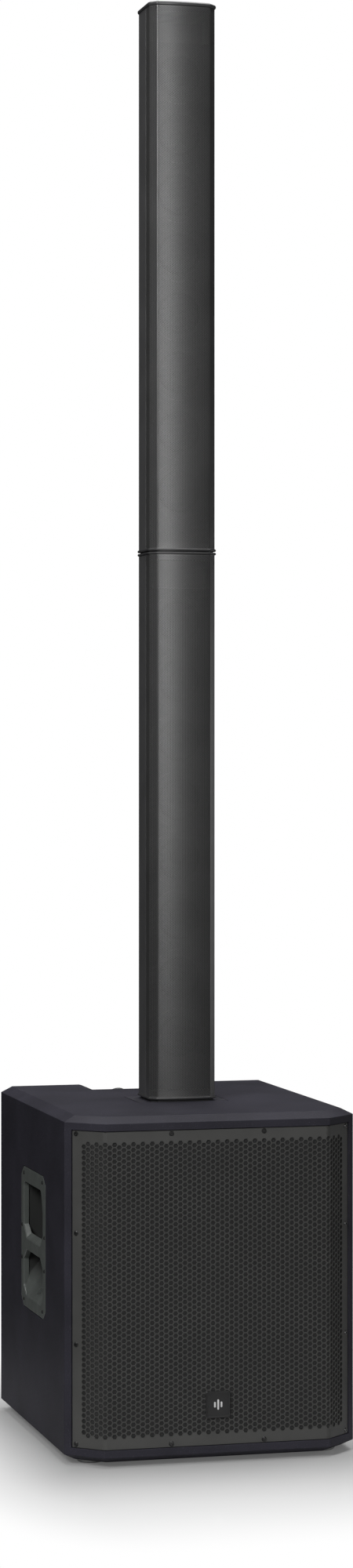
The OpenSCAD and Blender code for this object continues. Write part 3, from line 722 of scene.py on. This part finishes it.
def make_shell():
    shell = piece("cabinet_shell", cabinet_solid())
    amp_lo, amp_hi = low("amp_panel"), high("amp_panel")
    tray_low = low("control_tray")[2]
    gap, ledge, over = 0.5, 10, 5
    cut(
        shell,
        cavity_solid(),
        block(-notch_w, notch_w, notch_y, back_y + over, z_in1 - over, z_top + over),
        block(-notch_w, notch_w, back_in - over, back_y + over, tray_low, z_in1 + over),
        block(amp_lo[0] - gap, amp_hi[0] + gap, amp_lo[1], back_y + over,
              amp_lo[2] - gap, amp_hi[2] + gap),
        block(amp_lo[0] + ledge, amp_hi[0] - ledge, back_in - over, back_y + over,
              amp_lo[2] + ledge, amp_hi[2] - ledge),
        well("column_plate", 1.2, low("column_plate")[2], z_top + over),
        well("column_socket", 1, z_in1 - over, z_top + over),
    )
    seat = rounded(inset_corners(plate_corners(), -1))
    recess = sideways([(-over, seat), (PLATE_T, seat)])
    half = POCKET_HALF + gap
    hole = block(-over, wall + over, -half, half, POCKET_LOW - gap, POCKET_HIGH + gap)
    for solid in (recess, moved(hole, handle_place)):
        cut(shell, solid, moved(solid, lambda x, y, z: (-x, y, z)))
    for x, y in foot_places():
        cut(shell, prism(disc(x, y, 4), z_bot - over, z_bot + 14))
    soften(shell, 1.7, 3)
    finish(shell, materials["cabinet_paint"], "cabinet", *BOARDS)


make_shell()

# ------------------------------------------------------------------ perforated sheets


def walk(start, heading, steps):
    """A path of straight and round stretches, each given as (length, turn in radians)."""
    x, y = start
    stretches = []
    for length, turn in steps:
        stretches.append((length, turn, x, y, heading))
        if turn:
            radius = length / turn
            x += radius * (math.sin(heading + turn) - math.sin(heading))
            y -= radius * (math.cos(heading + turn) - math.cos(heading))
        else:
            x += length * math.cos(heading)
            y += length * math.sin(heading)
        heading += turn
    return stretches


def path_length(stretches):
    return sum(s[0] for s in stretches)


def along(stretches, s, depth):
    """The point s along the path and depth to its left, which is inwards."""
    last = len(stretches) - 1
    for i, (length, turn, x, y, heading) in enumerate(stretches):
        if s <= length or i == last:
            break
        s -= length
    here = heading
    if turn:
        radius = length / turn
        here = heading + s / radius
        x += radius * (math.sin(here) - math.sin(heading))
        y -= radius * (math.cos(here) - math.cos(heading))
    else:
        x += s * math.cos(heading)
        y += s * math.sin(heading)
    return x - depth * math.sin(here), y + depth * math.cos(here)


def perforated(stretches, span, heights, holes, hole_heights, pitch, across, thick):
    """A bent sheet with staggered six-sided holes, closed all round.

    span and heights are the sheet's limits along the path and up, holes and hole_heights those of
    the perforated field, pitch the distance between holes and across their width over the flats.
    """
    step = pitch * math.sqrt(3) / 2
    radius = across / math.sqrt(3)
    middle = path_length(stretches) / 2
    centre = (hole_heights[0] + hole_heights[1]) / 2
    spokes = disc(0, 0, radius, 6)
    flat, index = [], {}

    def corner(i, j, k):
        s = middle + i * step + spokes[k][0]
        z = centre + (j + (i % 2) / 2) * pitch + spokes[k][1]
        s = round(min(max(s, span[0]), span[1]), 4)
        z = round(min(max(z, heights[0]), heights[1]), 4)
        if (s, z) not in index:
            index[s, z] = len(flat)
            flat.append((s, z))
        return index[s, z]

    def is_hole(i, j):
        s = middle + i * step
        z = centre + (j + (i % 2) / 2) * pitch
        clear = holes[0] + radius <= s <= holes[1] - radius
        return clear and hole_heights[0] + across / 2 <= z <= hole_heights[1] - across / 2

    fronts = []

    def patch(*corners):
        loop = [c for n, c in enumerate(corners) if c != corners[n - 1]]
        area = 0
        for a, b in zip(loop, loop[1:] + loop[:1]):
            area += flat[a][0] * flat[b][1] - flat[b][0] * flat[a][1]
        if len(loop) > 2 and abs(area) > 1e-5:
            fronts.append(loop if area > 0 else loop[::-1])

    first = math.floor((span[0] - middle) / step) - 2
    last = math.ceil((span[1] - middle) / step) + 2
    bottom = math.floor((heights[0] - centre) / pitch) - 2
    top = math.ceil((heights[1] - centre) / pitch) + 2
    for i in range(first, last):
        odd = i % 2
        for j in range(bottom, top):
            up, down = j + odd, j + odd - 1
            here = [corner(i, j, k) for k in range(6)]
            patch(here[1], here[2], corner(i, j + 1, 4), corner(i, j + 1, 5))
            patch(here[0], corner(i + 1, up, 4), corner(i + 1, up, 3), here[1])
            patch(here[5], corner(i + 1, down, 3), corner(i + 1, down, 2), here[0])
            patch(here[0], corner(i + 1, down, 2), corner(i + 1, up, 4))
            patch(here[1], corner(i + 1, up, 3), corner(i, j + 1, 5))
            if not is_hole(i, j):
                patch(*here)

    count = len(flat)
    verts = []
    for depth in (0, thick):
        for s, z in flat:
            x, y = along(stretches, s, depth)
            verts.append((x, y, z))
    faces = fronts + [[count + v for v in reversed(loop)] for loop in fronts]
    edges = {(a, b) for loop in fronts for a, b in zip(loop, loop[1:] + loop[:1])}
    faces += [[b, a, count + a, count + b] for a, b in sorted(edges) if (b, a) not in edges]
    return drop_unused(verts, faces)


def drop_unused(verts, faces):
    used = sorted({v for face in faces for v in face})
    place = {v: n for n, v in enumerate(used)}
    return [verts[v] for v in used], [[place[v] for v in face] for face in faces]


# ------------------------------------------------------------------ bass grille

GRILLE_INSET = BORDER + 1
GRILLE_MARGIN = 13.0
GRILLE_PITCH, GRILLE_HOLE, GRILLE_SHEET = 8.2, 6.8, 1.5
BEND_RADIUS = 7.0


def grille_path():
    """From the left end to the right end of the bass grille's front face."""
    end = on_facet(GRILLE_INSET, RECESS)
    corner = front_corner(RECESS)
    trim = BEND_RADIUS * math.tan(facet_turn / 2)
    facet = math.dist(end, corner) - trim
    bend = (BEND_RADIUS * facet_turn, facet_turn)
    steps = [(facet, 0), bend, (2 * (corner[0] - trim), 0), bend, (facet, 0)]
    return walk(flip(end), -facet_turn, steps)


def make_bass_grille():
    path = grille_path()
    length = path_length(path)
    z0, z1 = low("front_grille")[2], high("front_grille")[2]
    solid = perforated(
        path, (0, length), (z0, z1), (GRILLE_MARGIN, length - GRILLE_MARGIN),
        (z0 + GRILLE_MARGIN + 1, z1 - GRILLE_MARGIN - 1), GRILLE_PITCH, GRILLE_HOLE, GRILLE_SHEET,
    )
    grille = piece("bass_grille", solid, fix_normals=False)
    shade(grille, 30)
    finish(grille, materials["grille_steel"], "cabinet", "front_grille")


make_bass_grille()

# ------------------------------------------------------------------ column outline

column_hw = high("lower_housing")[0]
column_back = high("lower_housing")[1]
BOW_RADIUS, BOW_DEPTH = 300.0, 53.4
FACET_LINE = 92.0
SKIN = 2.5
SPLIT_Y = -19.0
bow_centre = BOW_RADIUS - BOW_DEPTH


def bow_edge(inset):
    """Where the bowed front meets the 45 degree facet."""
    q = FACET_LINE - inset * math.sqrt(2) + bow_centre
    radius = BOW_RADIUS - inset
    x = (q - math.sqrt(2 * radius ** 2 - q ** 2)) / 2
    return x, bow_centre - math.sqrt(radius ** 2 - x ** 2)


def column_outline(inset, soft=3.0, bow_steps=26):
    """The column's plan, shrunk by inset, counter-clockwise from above."""
    k = math.tan(math.radians(22.5)) * inset
    soft = max(soft - inset, 0.3)
    x, y = bow_edge(inset)
    right = [(column_hw - inset, k - 40, soft), (column_hw - inset, 26 - k, soft),
             (36 - k, column_back - inset, soft)]
    left = [(-p[0], p[1], soft) for p in reversed(right)]
    radius = BOW_RADIUS - inset
    half = math.asin(x / radius)
    bow = [(-x, y, soft)]
    for n in range(1, bow_steps):
        a = half * (2 * n / bow_steps - 1)
        bow.append((radius * math.sin(a), bow_centre - radius * math.cos(a), 0))
    bow.append((x, y, soft))
    return rounded(right + left + bow)


def column_levels(levels, base):
    """A solid lofted through (inset, height) levels of the column's plan."""
    return loft([ring_at(column_outline(inset), base + z) for inset, z in levels])


def bead(z0, z1, bulge, steps=10):
    """Levels of a half-round moulding between two heights that stands bulge past the skin."""
    middle, half = (z0 + z1) / 2, (z1 - z0) / 2
    turns = [math.pi * (n / steps - 0.5) for n in range(steps + 1)]
    return [(-bulge * math.cos(a), middle + half * math.sin(a)) for a in turns]


# ------------------------------------------------------------------ column pieces

COLUMN_PITCH, COLUMN_HOLE, COLUMN_SHEET = 2.7, 1.55, 1.2
# Half the middle strip's share of the perforated front, and the length of a section's plug
MIDDLE_SHARE = 0.41
PLUG = 47.0
sections = {name: low(name + "_base_cap")[2] + PLUG for name in ("lower", "upper")}
section_h = high("lower_top_cap")[2] - sections["lower"]
cup_lo, cup_hi = low("column_socket"), high("column_socket")
BULGE = 1.8


def housing_solid(z0, z1):
    k = math.tan(math.radians(22.5)) * SKIN
    outer = [(column_hw, SPLIT_Y, 0.5), (column_hw, 26, 5), (36, column_back, 5)]
    inner = [(column_hw - SKIN, SPLIT_Y, 0.4), (column_hw - SKIN, 26 - k, 3),
             (36 - k, column_back - SKIN, 3)]
    corners = outer + [(-x, y, r) for x, y, r in reversed(outer)]
    corners += inner_path(inner)
    return prism(rounded(corners), z0, z1)


def inner_path(inner):
    """The inside of the housing, back from the left end to the right one."""
    return [(-x, y, r) for x, y, r in inner] + list(reversed(inner))


def make_housing(section, base):
    housing = piece(section + "_column_back", housing_solid(base + 5, base + section_h - 4))
    shade(housing, 30, weighted=True)
    finish(housing, materials["column_aluminium"], section + "_column", section + "_housing")


def column_grille_path(inset=0.3):
    """From the left edge of the column grille round the front to the right edge."""
    k = math.tan(math.radians(22.5)) * inset
    corner = (column_hw - inset, k - 40)
    x, y = bow_edge(inset)
    radius = BOW_RADIUS - inset
    half_bow = math.asin(x / radius)
    first_turn = math.radians(45)
    first_soft, second_soft = 2.5, 3.0
    first_trim = first_soft * math.tan(first_turn / 2)
    second_trim = second_soft * math.tan((first_turn - half_bow) / 2)
    second_turn = first_turn - half_bow + second_trim / radius
    side = SPLIT_Y - 0.2 - corner[1] - first_trim
    facet = math.dist(corner, (x, y)) - first_trim - second_trim
    bow = 2 * (radius * half_bow - second_trim)
    edge = [(side, 0), (first_soft * first_turn, first_turn),
            (facet, 0), (second_soft * second_turn, second_turn)]
    start = (-corner[0], SPLIT_Y - 0.2)
    return walk(start, -math.pi / 2, edge + [(bow, bow / radius)] + edge[::-1]), side


def make_column_grille(section, base):
    """Three strips, split between two rows of holes, so that none is too dense to export."""
    path, side = column_grille_path()
    length = path_length(path)
    heights = (base + 5, base + section_h - 4)
    field = (heights[0] + 0.3, heights[1] - 0.3)
    step = COLUMN_PITCH * math.sqrt(3) / 2
    split = (math.floor(MIDDLE_SHARE * (length / 2 - side) / step) + 0.5) * step
    limits = (0, length / 2 - split, length / 2 + split, length)
    for part, start, end in zip(("left", "middle", "right"), limits, limits[1:]):
        solid = perforated(
            path, (start, end), heights, (side + 1, length - side - 1), field,
            COLUMN_PITCH, COLUMN_HOLE, COLUMN_SHEET,
        )
        strip = piece(f"{section}_column_grille_{part}", solid, fix_normals=False)
        shade(strip, 25)
        finish(strip, materials["column_grille"], section + "_column", section + "_grille")


def base_cap_solid(base):
    levels = [(2.8, 0), (2.5, 0.3), (2.5, 1.0)] + bead(1.0, 5.0, BULGE) + [(2.6, 5.0), (2.6, 14.0)]
    x, y0, y1 = cup_hi[0] - 4.5, cup_lo[1] + 4.5, cup_hi[1] - 4.5
    tip = 3.0
    plug = ((x - tip, y0 + tip, y1 - tip, -PLUG), (x, y0, y1, 2 * tip - PLUG), (x, y0, y1, 0.5))
    rings = []
    for w, a, b, z in plug:
        rings.append(ring_at(rounded([(-w, a, 3), (w, a, 3), (w, b, 3), (-w, b, 3)]), base + z))
    return joined(column_levels(levels, base), loft(rings))


def make_base_cap(section, base):
    cap = piece(section + "_base_ring", base_cap_solid(base))
    shade(cap, 30)
    finish(cap, materials["column_cap"], section + "_column", section + "_base_cap")


def make_socket_cap(base):
    """The lower section's top ring with the socket for the upper section's plug."""
    top = section_h
    levels = [(2.6, top - 12.0), (2.6, top - 4.0)] + bead(top - 4, top, BULGE) + [(2.4, top)]
    cap = piece("lower_top_ring", column_levels(levels, base))
    deep, thick = 50, 4
    add(cap, well("column_socket", 0, base + top - deep - thick, base + top - 11))
    cut(cap, well("column_socket", -thick, base + top - deep, base + top + 5))
    shade(cap, 30, weighted=True)
    finish(cap, materials["column_cap"], "lower_column", "lower_top_cap")


def make_end_cap(base):
    """The closed cap on top of the column: a rounded rim and a slightly raised lid."""
    top = section_h
    levels = [(2.6, top - 12), (2.6, top - 4)] + bead(top - 4, top + 2, BULGE, 8)
    levels += [(0.6, top + 2.05), (1.2, top + 2.6), (2.2, top + 3.2), (4.0, top + 3.5)]
    cap = piece("upper_end_cap", column_levels(levels, base))
    shade(cap, 40)
    finish(cap, materials["column_cap"], "upper_column", "upper_top_cap")


def make_columns():
    for section, base in sections.items():
        make_housing(section, base)
        make_column_grille(section, base)
        make_base_cap(section, base)
    make_socket_cap(sections["lower"])
    make_end_cap(sections["upper"])


make_columns()

# ------------------------------------------------------------------ side handles

LIP_DEEP, BAR_DEEP, POCKET_DEEP = 8.5, 12.0, 62.0
POCKET_WALL = 3.0


def upper_window(lift):
    """The upper window's outline; lift raises its lower edge, the top of the grip bar."""
    return [(49, lift - 1, 1.5), (70, 18, 1.5), (70, 84, 8), (-54, 84, 12), (-66, 50, 12),
            (-66, 18, 1.5), (-47, lift - 1, 1.5)]


def lower_window(lift):
    """The lower window's outline, which is the same at every lift."""
    return [(52, -90, 9), (70, -77, 9), (70, -35, 1.5), (49, -19, 1.5),
            (-47, -19, 1.5), (-66, -35, 1.5), (-66, -77, 9), (-50, -90, 9)]


def window_cutter(corners):
    """Flares at the plate's face, so that the window's rim is rounded; the bar's top slopes up."""
    flare = ((-1.0, -2.0), (0.0, -1.5), (0.25, -0.9), (0.8, -0.35), (1.7, 0.0),
             (LIP_DEEP, 0.0), (BAR_DEEP + 2, 0.0))
    rings = []
    for depth, inset in flare:
        lift = 7 * min(max(depth / LIP_DEEP, 0), 1)
        rings.append((depth, rounded(inset_corners(corners(lift), inset))))
    return sideways(rings)


def bar_solid():
    outline = [(2, -18), (BAR_DEEP - 1, -18), (BAR_DEEP, -17), (BAR_DEEP, 3.5),
               (LIP_DEEP + 0.5, 6.2), (2, 1)]
    return moved(loft([[(d, y, z) for d, z in outline] for y in (70, -70)]), handle_place)


def scoop():
    """The curved floor behind the lower window, rising to the back and towards both ends."""
    sunk = 0.5
    start, end = sunk, POCKET_DEEP - POCKET_WALL + sunk
    side = POCKET_HALF - POCKET_WALL + sunk
    depths = [start + (end - start) * n / 14 for n in range(15)]
    spots = [side * (n / 15 - 1) for n in range(31)]
    flat_half, back_rise, end_rise = 46.0, 52.0, 18.0
    verts = []
    for d in depths:
        rise = back_rise * math.sin(math.pi / 2 * (d - start) / (end - start))
        for y in spots:
            ends = end_rise * min(1, d / 8) * max(0, (abs(y) - flat_half) / (side - flat_half)) ** 1.6
            verts.append((d, y, rise + ends - 90))
    across = len(spots)
    under = len(verts)
    verts += [(d, y, -91.5) for d in depths for y in spots]
    faces = []
    for i in range(len(depths) - 1):
        for j in range(across - 1):
            a, b = i * across + j, (i + 1) * across + j
            faces.append([a, b, b + 1, a + 1])
            faces.append([under + a, under + a + 1, under + b + 1, under + b])
    rim = list(range(across)) + [i * across + across - 1 for i in range(1, len(depths))]
    rim += [(len(depths) - 1) * across + j for j in reversed(range(across - 1))]
    rim += [i * across for i in reversed(range(1, len(depths) - 1))]
    for n, a in enumerate(rim):
        b = rim[(n + 1) % len(rim)]
        faces.append([a, b, under + b, under + a])
    return moved((verts, faces), handle_place)


def pocket_block(near, far, inset):
    """The hand pocket's box between two depths, made smaller by inset."""
    side = POCKET_HALF - inset
    box = block(near, far, -side, side, POCKET_LOW + inset, POCKET_HIGH - inset)
    return moved(box, handle_place)


def make_handles():
    rim = ((0.0, 1.0), (0.1, 0.55), (0.35, 0.2), (0.8, 0.0), (PLATE_T, 0.0))
    plate = [(d, rounded(inset_corners(plate_corners(), i))) for d, i in rim]
    handle = piece("left_handle", sideways(plate))
    add(handle, pocket_block(PLATE_T - 0.2, POCKET_DEEP, 0))
    cut(handle, pocket_block(LIP_DEEP, POCKET_DEEP - POCKET_WALL, POCKET_WALL))
    add(handle, bar_solid())
    cut(handle, window_cutter(upper_window), window_cutter(lower_window))
    add(handle, scoop())
    slot = block(7, 14, -12, 6, -82, -60)
    cut(handle, moved(slot, handle_place))
    soften(handle, 0.35, 2, 32)
    right = mirrored(handle, "right_handle")
    finish(handle, materials["handle_plastic"], "cabinet", "handle_left")
    finish(right, materials["handle_plastic"], "cabinet", "handle_right")


make_handles()

# ------------------------------------------------------------------ badge

BADGE_Z0, BADGE_Z1 = low("badge")[2], high("badge")[2]
badge_half = high("badge")[0]


def facing_front(x, z, rings):
    """A solid through outlines in (x, z) about a point, each at its own y."""
    return loft([[(x + u, y, z + v) for u, v in outline] for y, outline in rings])


def bar_outline(w, h, soft):
    return [(-w, -h, soft), (w, -h, soft), (w, h, soft), (-w, h, soft)]


def make_badge():
    """A plain dark plate with a raised rim and three plain bars."""
    middle = (BADGE_Z0 + BADGE_Z1) / 2
    corners = bar_outline(badge_half, (BADGE_Z1 - BADGE_Z0) / 2, 2.5)
    profile = ((front_y + RECESS, 0), (front_y + 0.5, 0), (front_y + 0.1, 0.3), (front_y, 0.8),
               (front_y, 1.7), (front_y + 0.2, 2.0), (front_y + 0.6, 2.2))
    rings = [(y, rounded(inset_corners(corners, i))) for y, i in profile]
    plate = piece("badge_plate", facing_front(0, middle, rings))
    shade(plate, 40, weighted=True)
    finish(plate, materials["badge_plastic"], "cabinet", "badge")
    bars = []
    for n, tall in enumerate((4.0, 7.5, 4.0)):
        outline = bar_outline(1.3, tall, 1.0)
        rise = ((front_y + 0.7, 0), (front_y + 0.25, 0), (front_y + 0.1, 0.25))
        rings = [(y, rounded(inset_corners(outline, i))) for y, i in rise]
        bars.append(facing_front((n - 1) * 5.0, middle, rings))
    mark = piece("badge_bars", joined(*bars))
    shade(mark, 40)
    finish(mark, moulding_mark, "cabinet")


moulding_mark = moulding("badge_plastic", (0.62, 0.62, 0.62), rough=0.35, depth=0.005)
make_badge()

# ------------------------------------------------------------------ feet


def revolved(profile, steps=40):
    """A solid of revolution about +Z from (radius, height) points, bottom to top."""
    return loft([ring_at(disc(0, 0, r, steps), z) for r, z in profile])


def make_feet():
    foot = high("cabinet_feet")[0] - foot_places()[-1][0]
    profile = [(foot - 4, 0.0), (foot - 2, 0.3), (foot - 0.9, 1.0), (foot - 0.3, 2.0), (foot, 3.4),
               (foot, z_bot - 0.6), (foot - 0.5, z_bot - 0.1), (4.0, z_bot - 0.1), (4.0, z_bot + 12)]
    solids = []
    for a, b in foot_places():
        solids.append(moved(revolved(profile), lambda x, y, z: (a + x, b + y, z)))
    feet = piece("rubber_feet", joined(*solids))
    shade(feet, 35)
    finish(feet, materials["rubber"], "cabinet", "cabinet_feet")


make_feet()

# ------------------------------------------------------------------ knob on the sloped panel

PANEL_SLOPE = math.radians(35.3)
KNOB_X, KNOB_DOWN = -44.0, 30.0
panel_start = (notch_y + 2, z_top - 6)


def on_panel(x, y, z):
    """From across, down and out of the sloped panel to the cabinet."""
    return (x, panel_start[0] + y * math.cos(PANEL_SLOPE) + z * math.sin(PANEL_SLOPE),
            panel_start[1] - y * math.sin(PANEL_SLOPE) + z * math.cos(PANEL_SLOPE))


def make_knob():
    ribs, per_rib = 18, 6
    steps = ribs * per_rib
    lift = 1.6
    rise = ((13.6, 0.0, 0.0), (14.7, 0.5, 0.0), (14.9, 1.2, 0.5), (14.6, 6.0, 0.8), (14.2, 11.8, 0.8),
            (13.7, 12.8, 0.2), (12.9, 13.8, 0.0), (12.2, 14.3, 0.0), (11.4, 14.4, 0.0),
            (10.6, 13.9, 0.0), (3.0, 13.6, 0.0))
    rings = []
    for radius, z, depth in rise:
        ring = []
        for i in range(steps):
            a = math.tau * i / steps
            r = radius - depth * (0.5 - 0.5 * math.cos(ribs * a)) ** 3
            ring.append((KNOB_X + r * math.cos(a), KNOB_DOWN + r * math.sin(a), lift + 1.2 * z))
        rings.append(ring)
    bore = [ring_at(disc(KNOB_X, KNOB_DOWN, 3.05, steps), z) for z in (11.9, lift)]
    solid = loft(bore + rings)
    knob = piece("encoder_knob_ribbed", moved(solid, on_panel))
    shade(knob, 40)
    finish(knob, materials["knob_plastic"], "encoder_dial", "encoder_knob")
    line = [(KNOB_X + x, KNOB_DOWN - 9.5 + y) for x, y in rounded(bar_outline(0.6, 3.5, 0.5))]
    pointer = piece("knob_pointer", moved(prism(line, 17.6, 18.8), on_panel))
    shade(pointer, 30)
    finish(pointer, pointer_paint, "encoder_dial")


pointer_paint = moulding("knob_plastic", (0.7, 0.7, 0.68), rough=0.5, depth=0.005)
make_knob()

# ------------------------------------------------------------------ floor, light and world


def floor_material():
    """Polished pale floor that fades into a white studio away from the cabinet."""
    material, tree, shader = new_material("floor")
    at = places(tree)
    size = (half_w * MM, back_y * MM, 1)
    beyond = vector_maths(tree, "SUBTRACT", vector_maths(tree, "ABSOLUTE", at)[0], size)[0]
    outside = vector_maths(tree, "MAXIMUM", beyond, (0, 0, 0))[0]
    wider = vector_maths(tree, "MULTIPLY", outside, (2.3, 1, 0))[0]
    away = vector_maths(tree, "LENGTH", wider)["Value"]
    far = spread(tree, away, 0.25, 0.7, 0, 1)
    tree.links.new(blend(tree, far, (0.5, 0.5, 0.5), (0.03, 0.03, 0.03)), shader.inputs["Base Color"])
    tree.links.new(spread(tree, away, 0.0, 0.5, 0.02, 0.1), shader.inputs["Roughness"])
    seen = node(tree, "LightPath").outputs["Is Camera Ray"]
    glow = node(tree, "Emission", {"Color": (1, 1, 1, 1), "Strength": 1.0})
    span = {"Value": away, "From Min": -0.13, "From Max": 0.55, "To Max": seen}
    fade = node(tree, "MapRange", span, interpolation_type="SMOOTHSTEP")
    mix = node(tree, "MixShader", {0: fade.outputs["Result"]})
    tree.links.new(shader.outputs[0], mix.inputs[1])
    tree.links.new(glow.outputs[0], mix.inputs[2])
    tree.links.new(mix.outputs[0], tree.nodes["Material Output"].inputs["Surface"])
    return material


def make_floor():
    verts = [(x, y, 0) for r in (60000.0, 1500.0) for x, y in rectangle(-r, r, -r, r)]
    faces = [[i, (i + 1) % 4, 4 + (i + 1) % 4, 4 + i] for i in range(4)] + [[4, 5, 6, 7]]
    floor = piece("floor", (verts, faces))
    floor.data.materials.append(floor_material())


WORLD_LIGHT = 0.02


def softbox(name, place, target, width, height, watts, glossy=True):
    data = bpy.data.lights.new(name, "AREA")
    data.shape = "RECTANGLE"
    data.size, data.size_y = width, height
    data.energy = watts
    lamp = bpy.data.objects.new(name, data)
    lamp.location = place
    lamp.rotation_euler = (Vector(target) - Vector(place)).to_track_quat("-Z", "Y").to_euler()
    lamp.visible_camera = False
    lamp.visible_glossy = glossy
    bpy.context.scene.collection.objects.link(lamp)


def make_world():
    """White to the camera, weaker as a light."""
    world = bpy.data.worlds.new("studio")
    world.use_nodes = True
    tree = world.node_tree
    tree.nodes.clear()
    seen = node(tree, "Background", {"Color": (1, 1, 1, 1), "Strength": 1.0})
    light = node(tree, "Background", {"Color": (1, 1, 1, 1), "Strength": WORLD_LIGHT})
    pick = node(tree, "MixShader")
    tree.links.new(node(tree, "LightPath").outputs["Is Camera Ray"], pick.inputs[0])
    tree.links.new(light.outputs[0], pick.inputs[1])
    tree.links.new(seen.outputs[0], pick.inputs[2])
    tree.links.new(pick.outputs[0], node(tree, "OutputWorld").inputs["Surface"])
    bpy.context.scene.world = world


def make_lights():
    softbox("front", (0.2, -4.2, 2.0), (0, 0, 1.5), 0.5, 3.0, 56)
    softbox("right", (3.6, 0.4, 0.8), (0, 0, 0.3), 0.8, 1.2, 8)
    softbox("above", (0.2, 0.3, 4.4), (0, 0, 0), 3.0, 3.0, 170)
    softbox("left", (-2.4, -2.6, 2.7), (-0.2, 0, 0.4), 1.2, 1.6, 120)
    softbox("column_left", (-3.4, -0.9, 1.9), (0, 0, 1.5), 0.5, 2.2, 1.5)
    softbox("behind", (1.2, 4.2, 2.4), (0, 0.2, 0.5), 1.6, 1.6, 130, glossy=False)


bpy.context.scene.view_settings.view_transform = "Standard"
bpy.context.scene.view_settings.look = "None"
make_floor()
make_world()
make_lights()
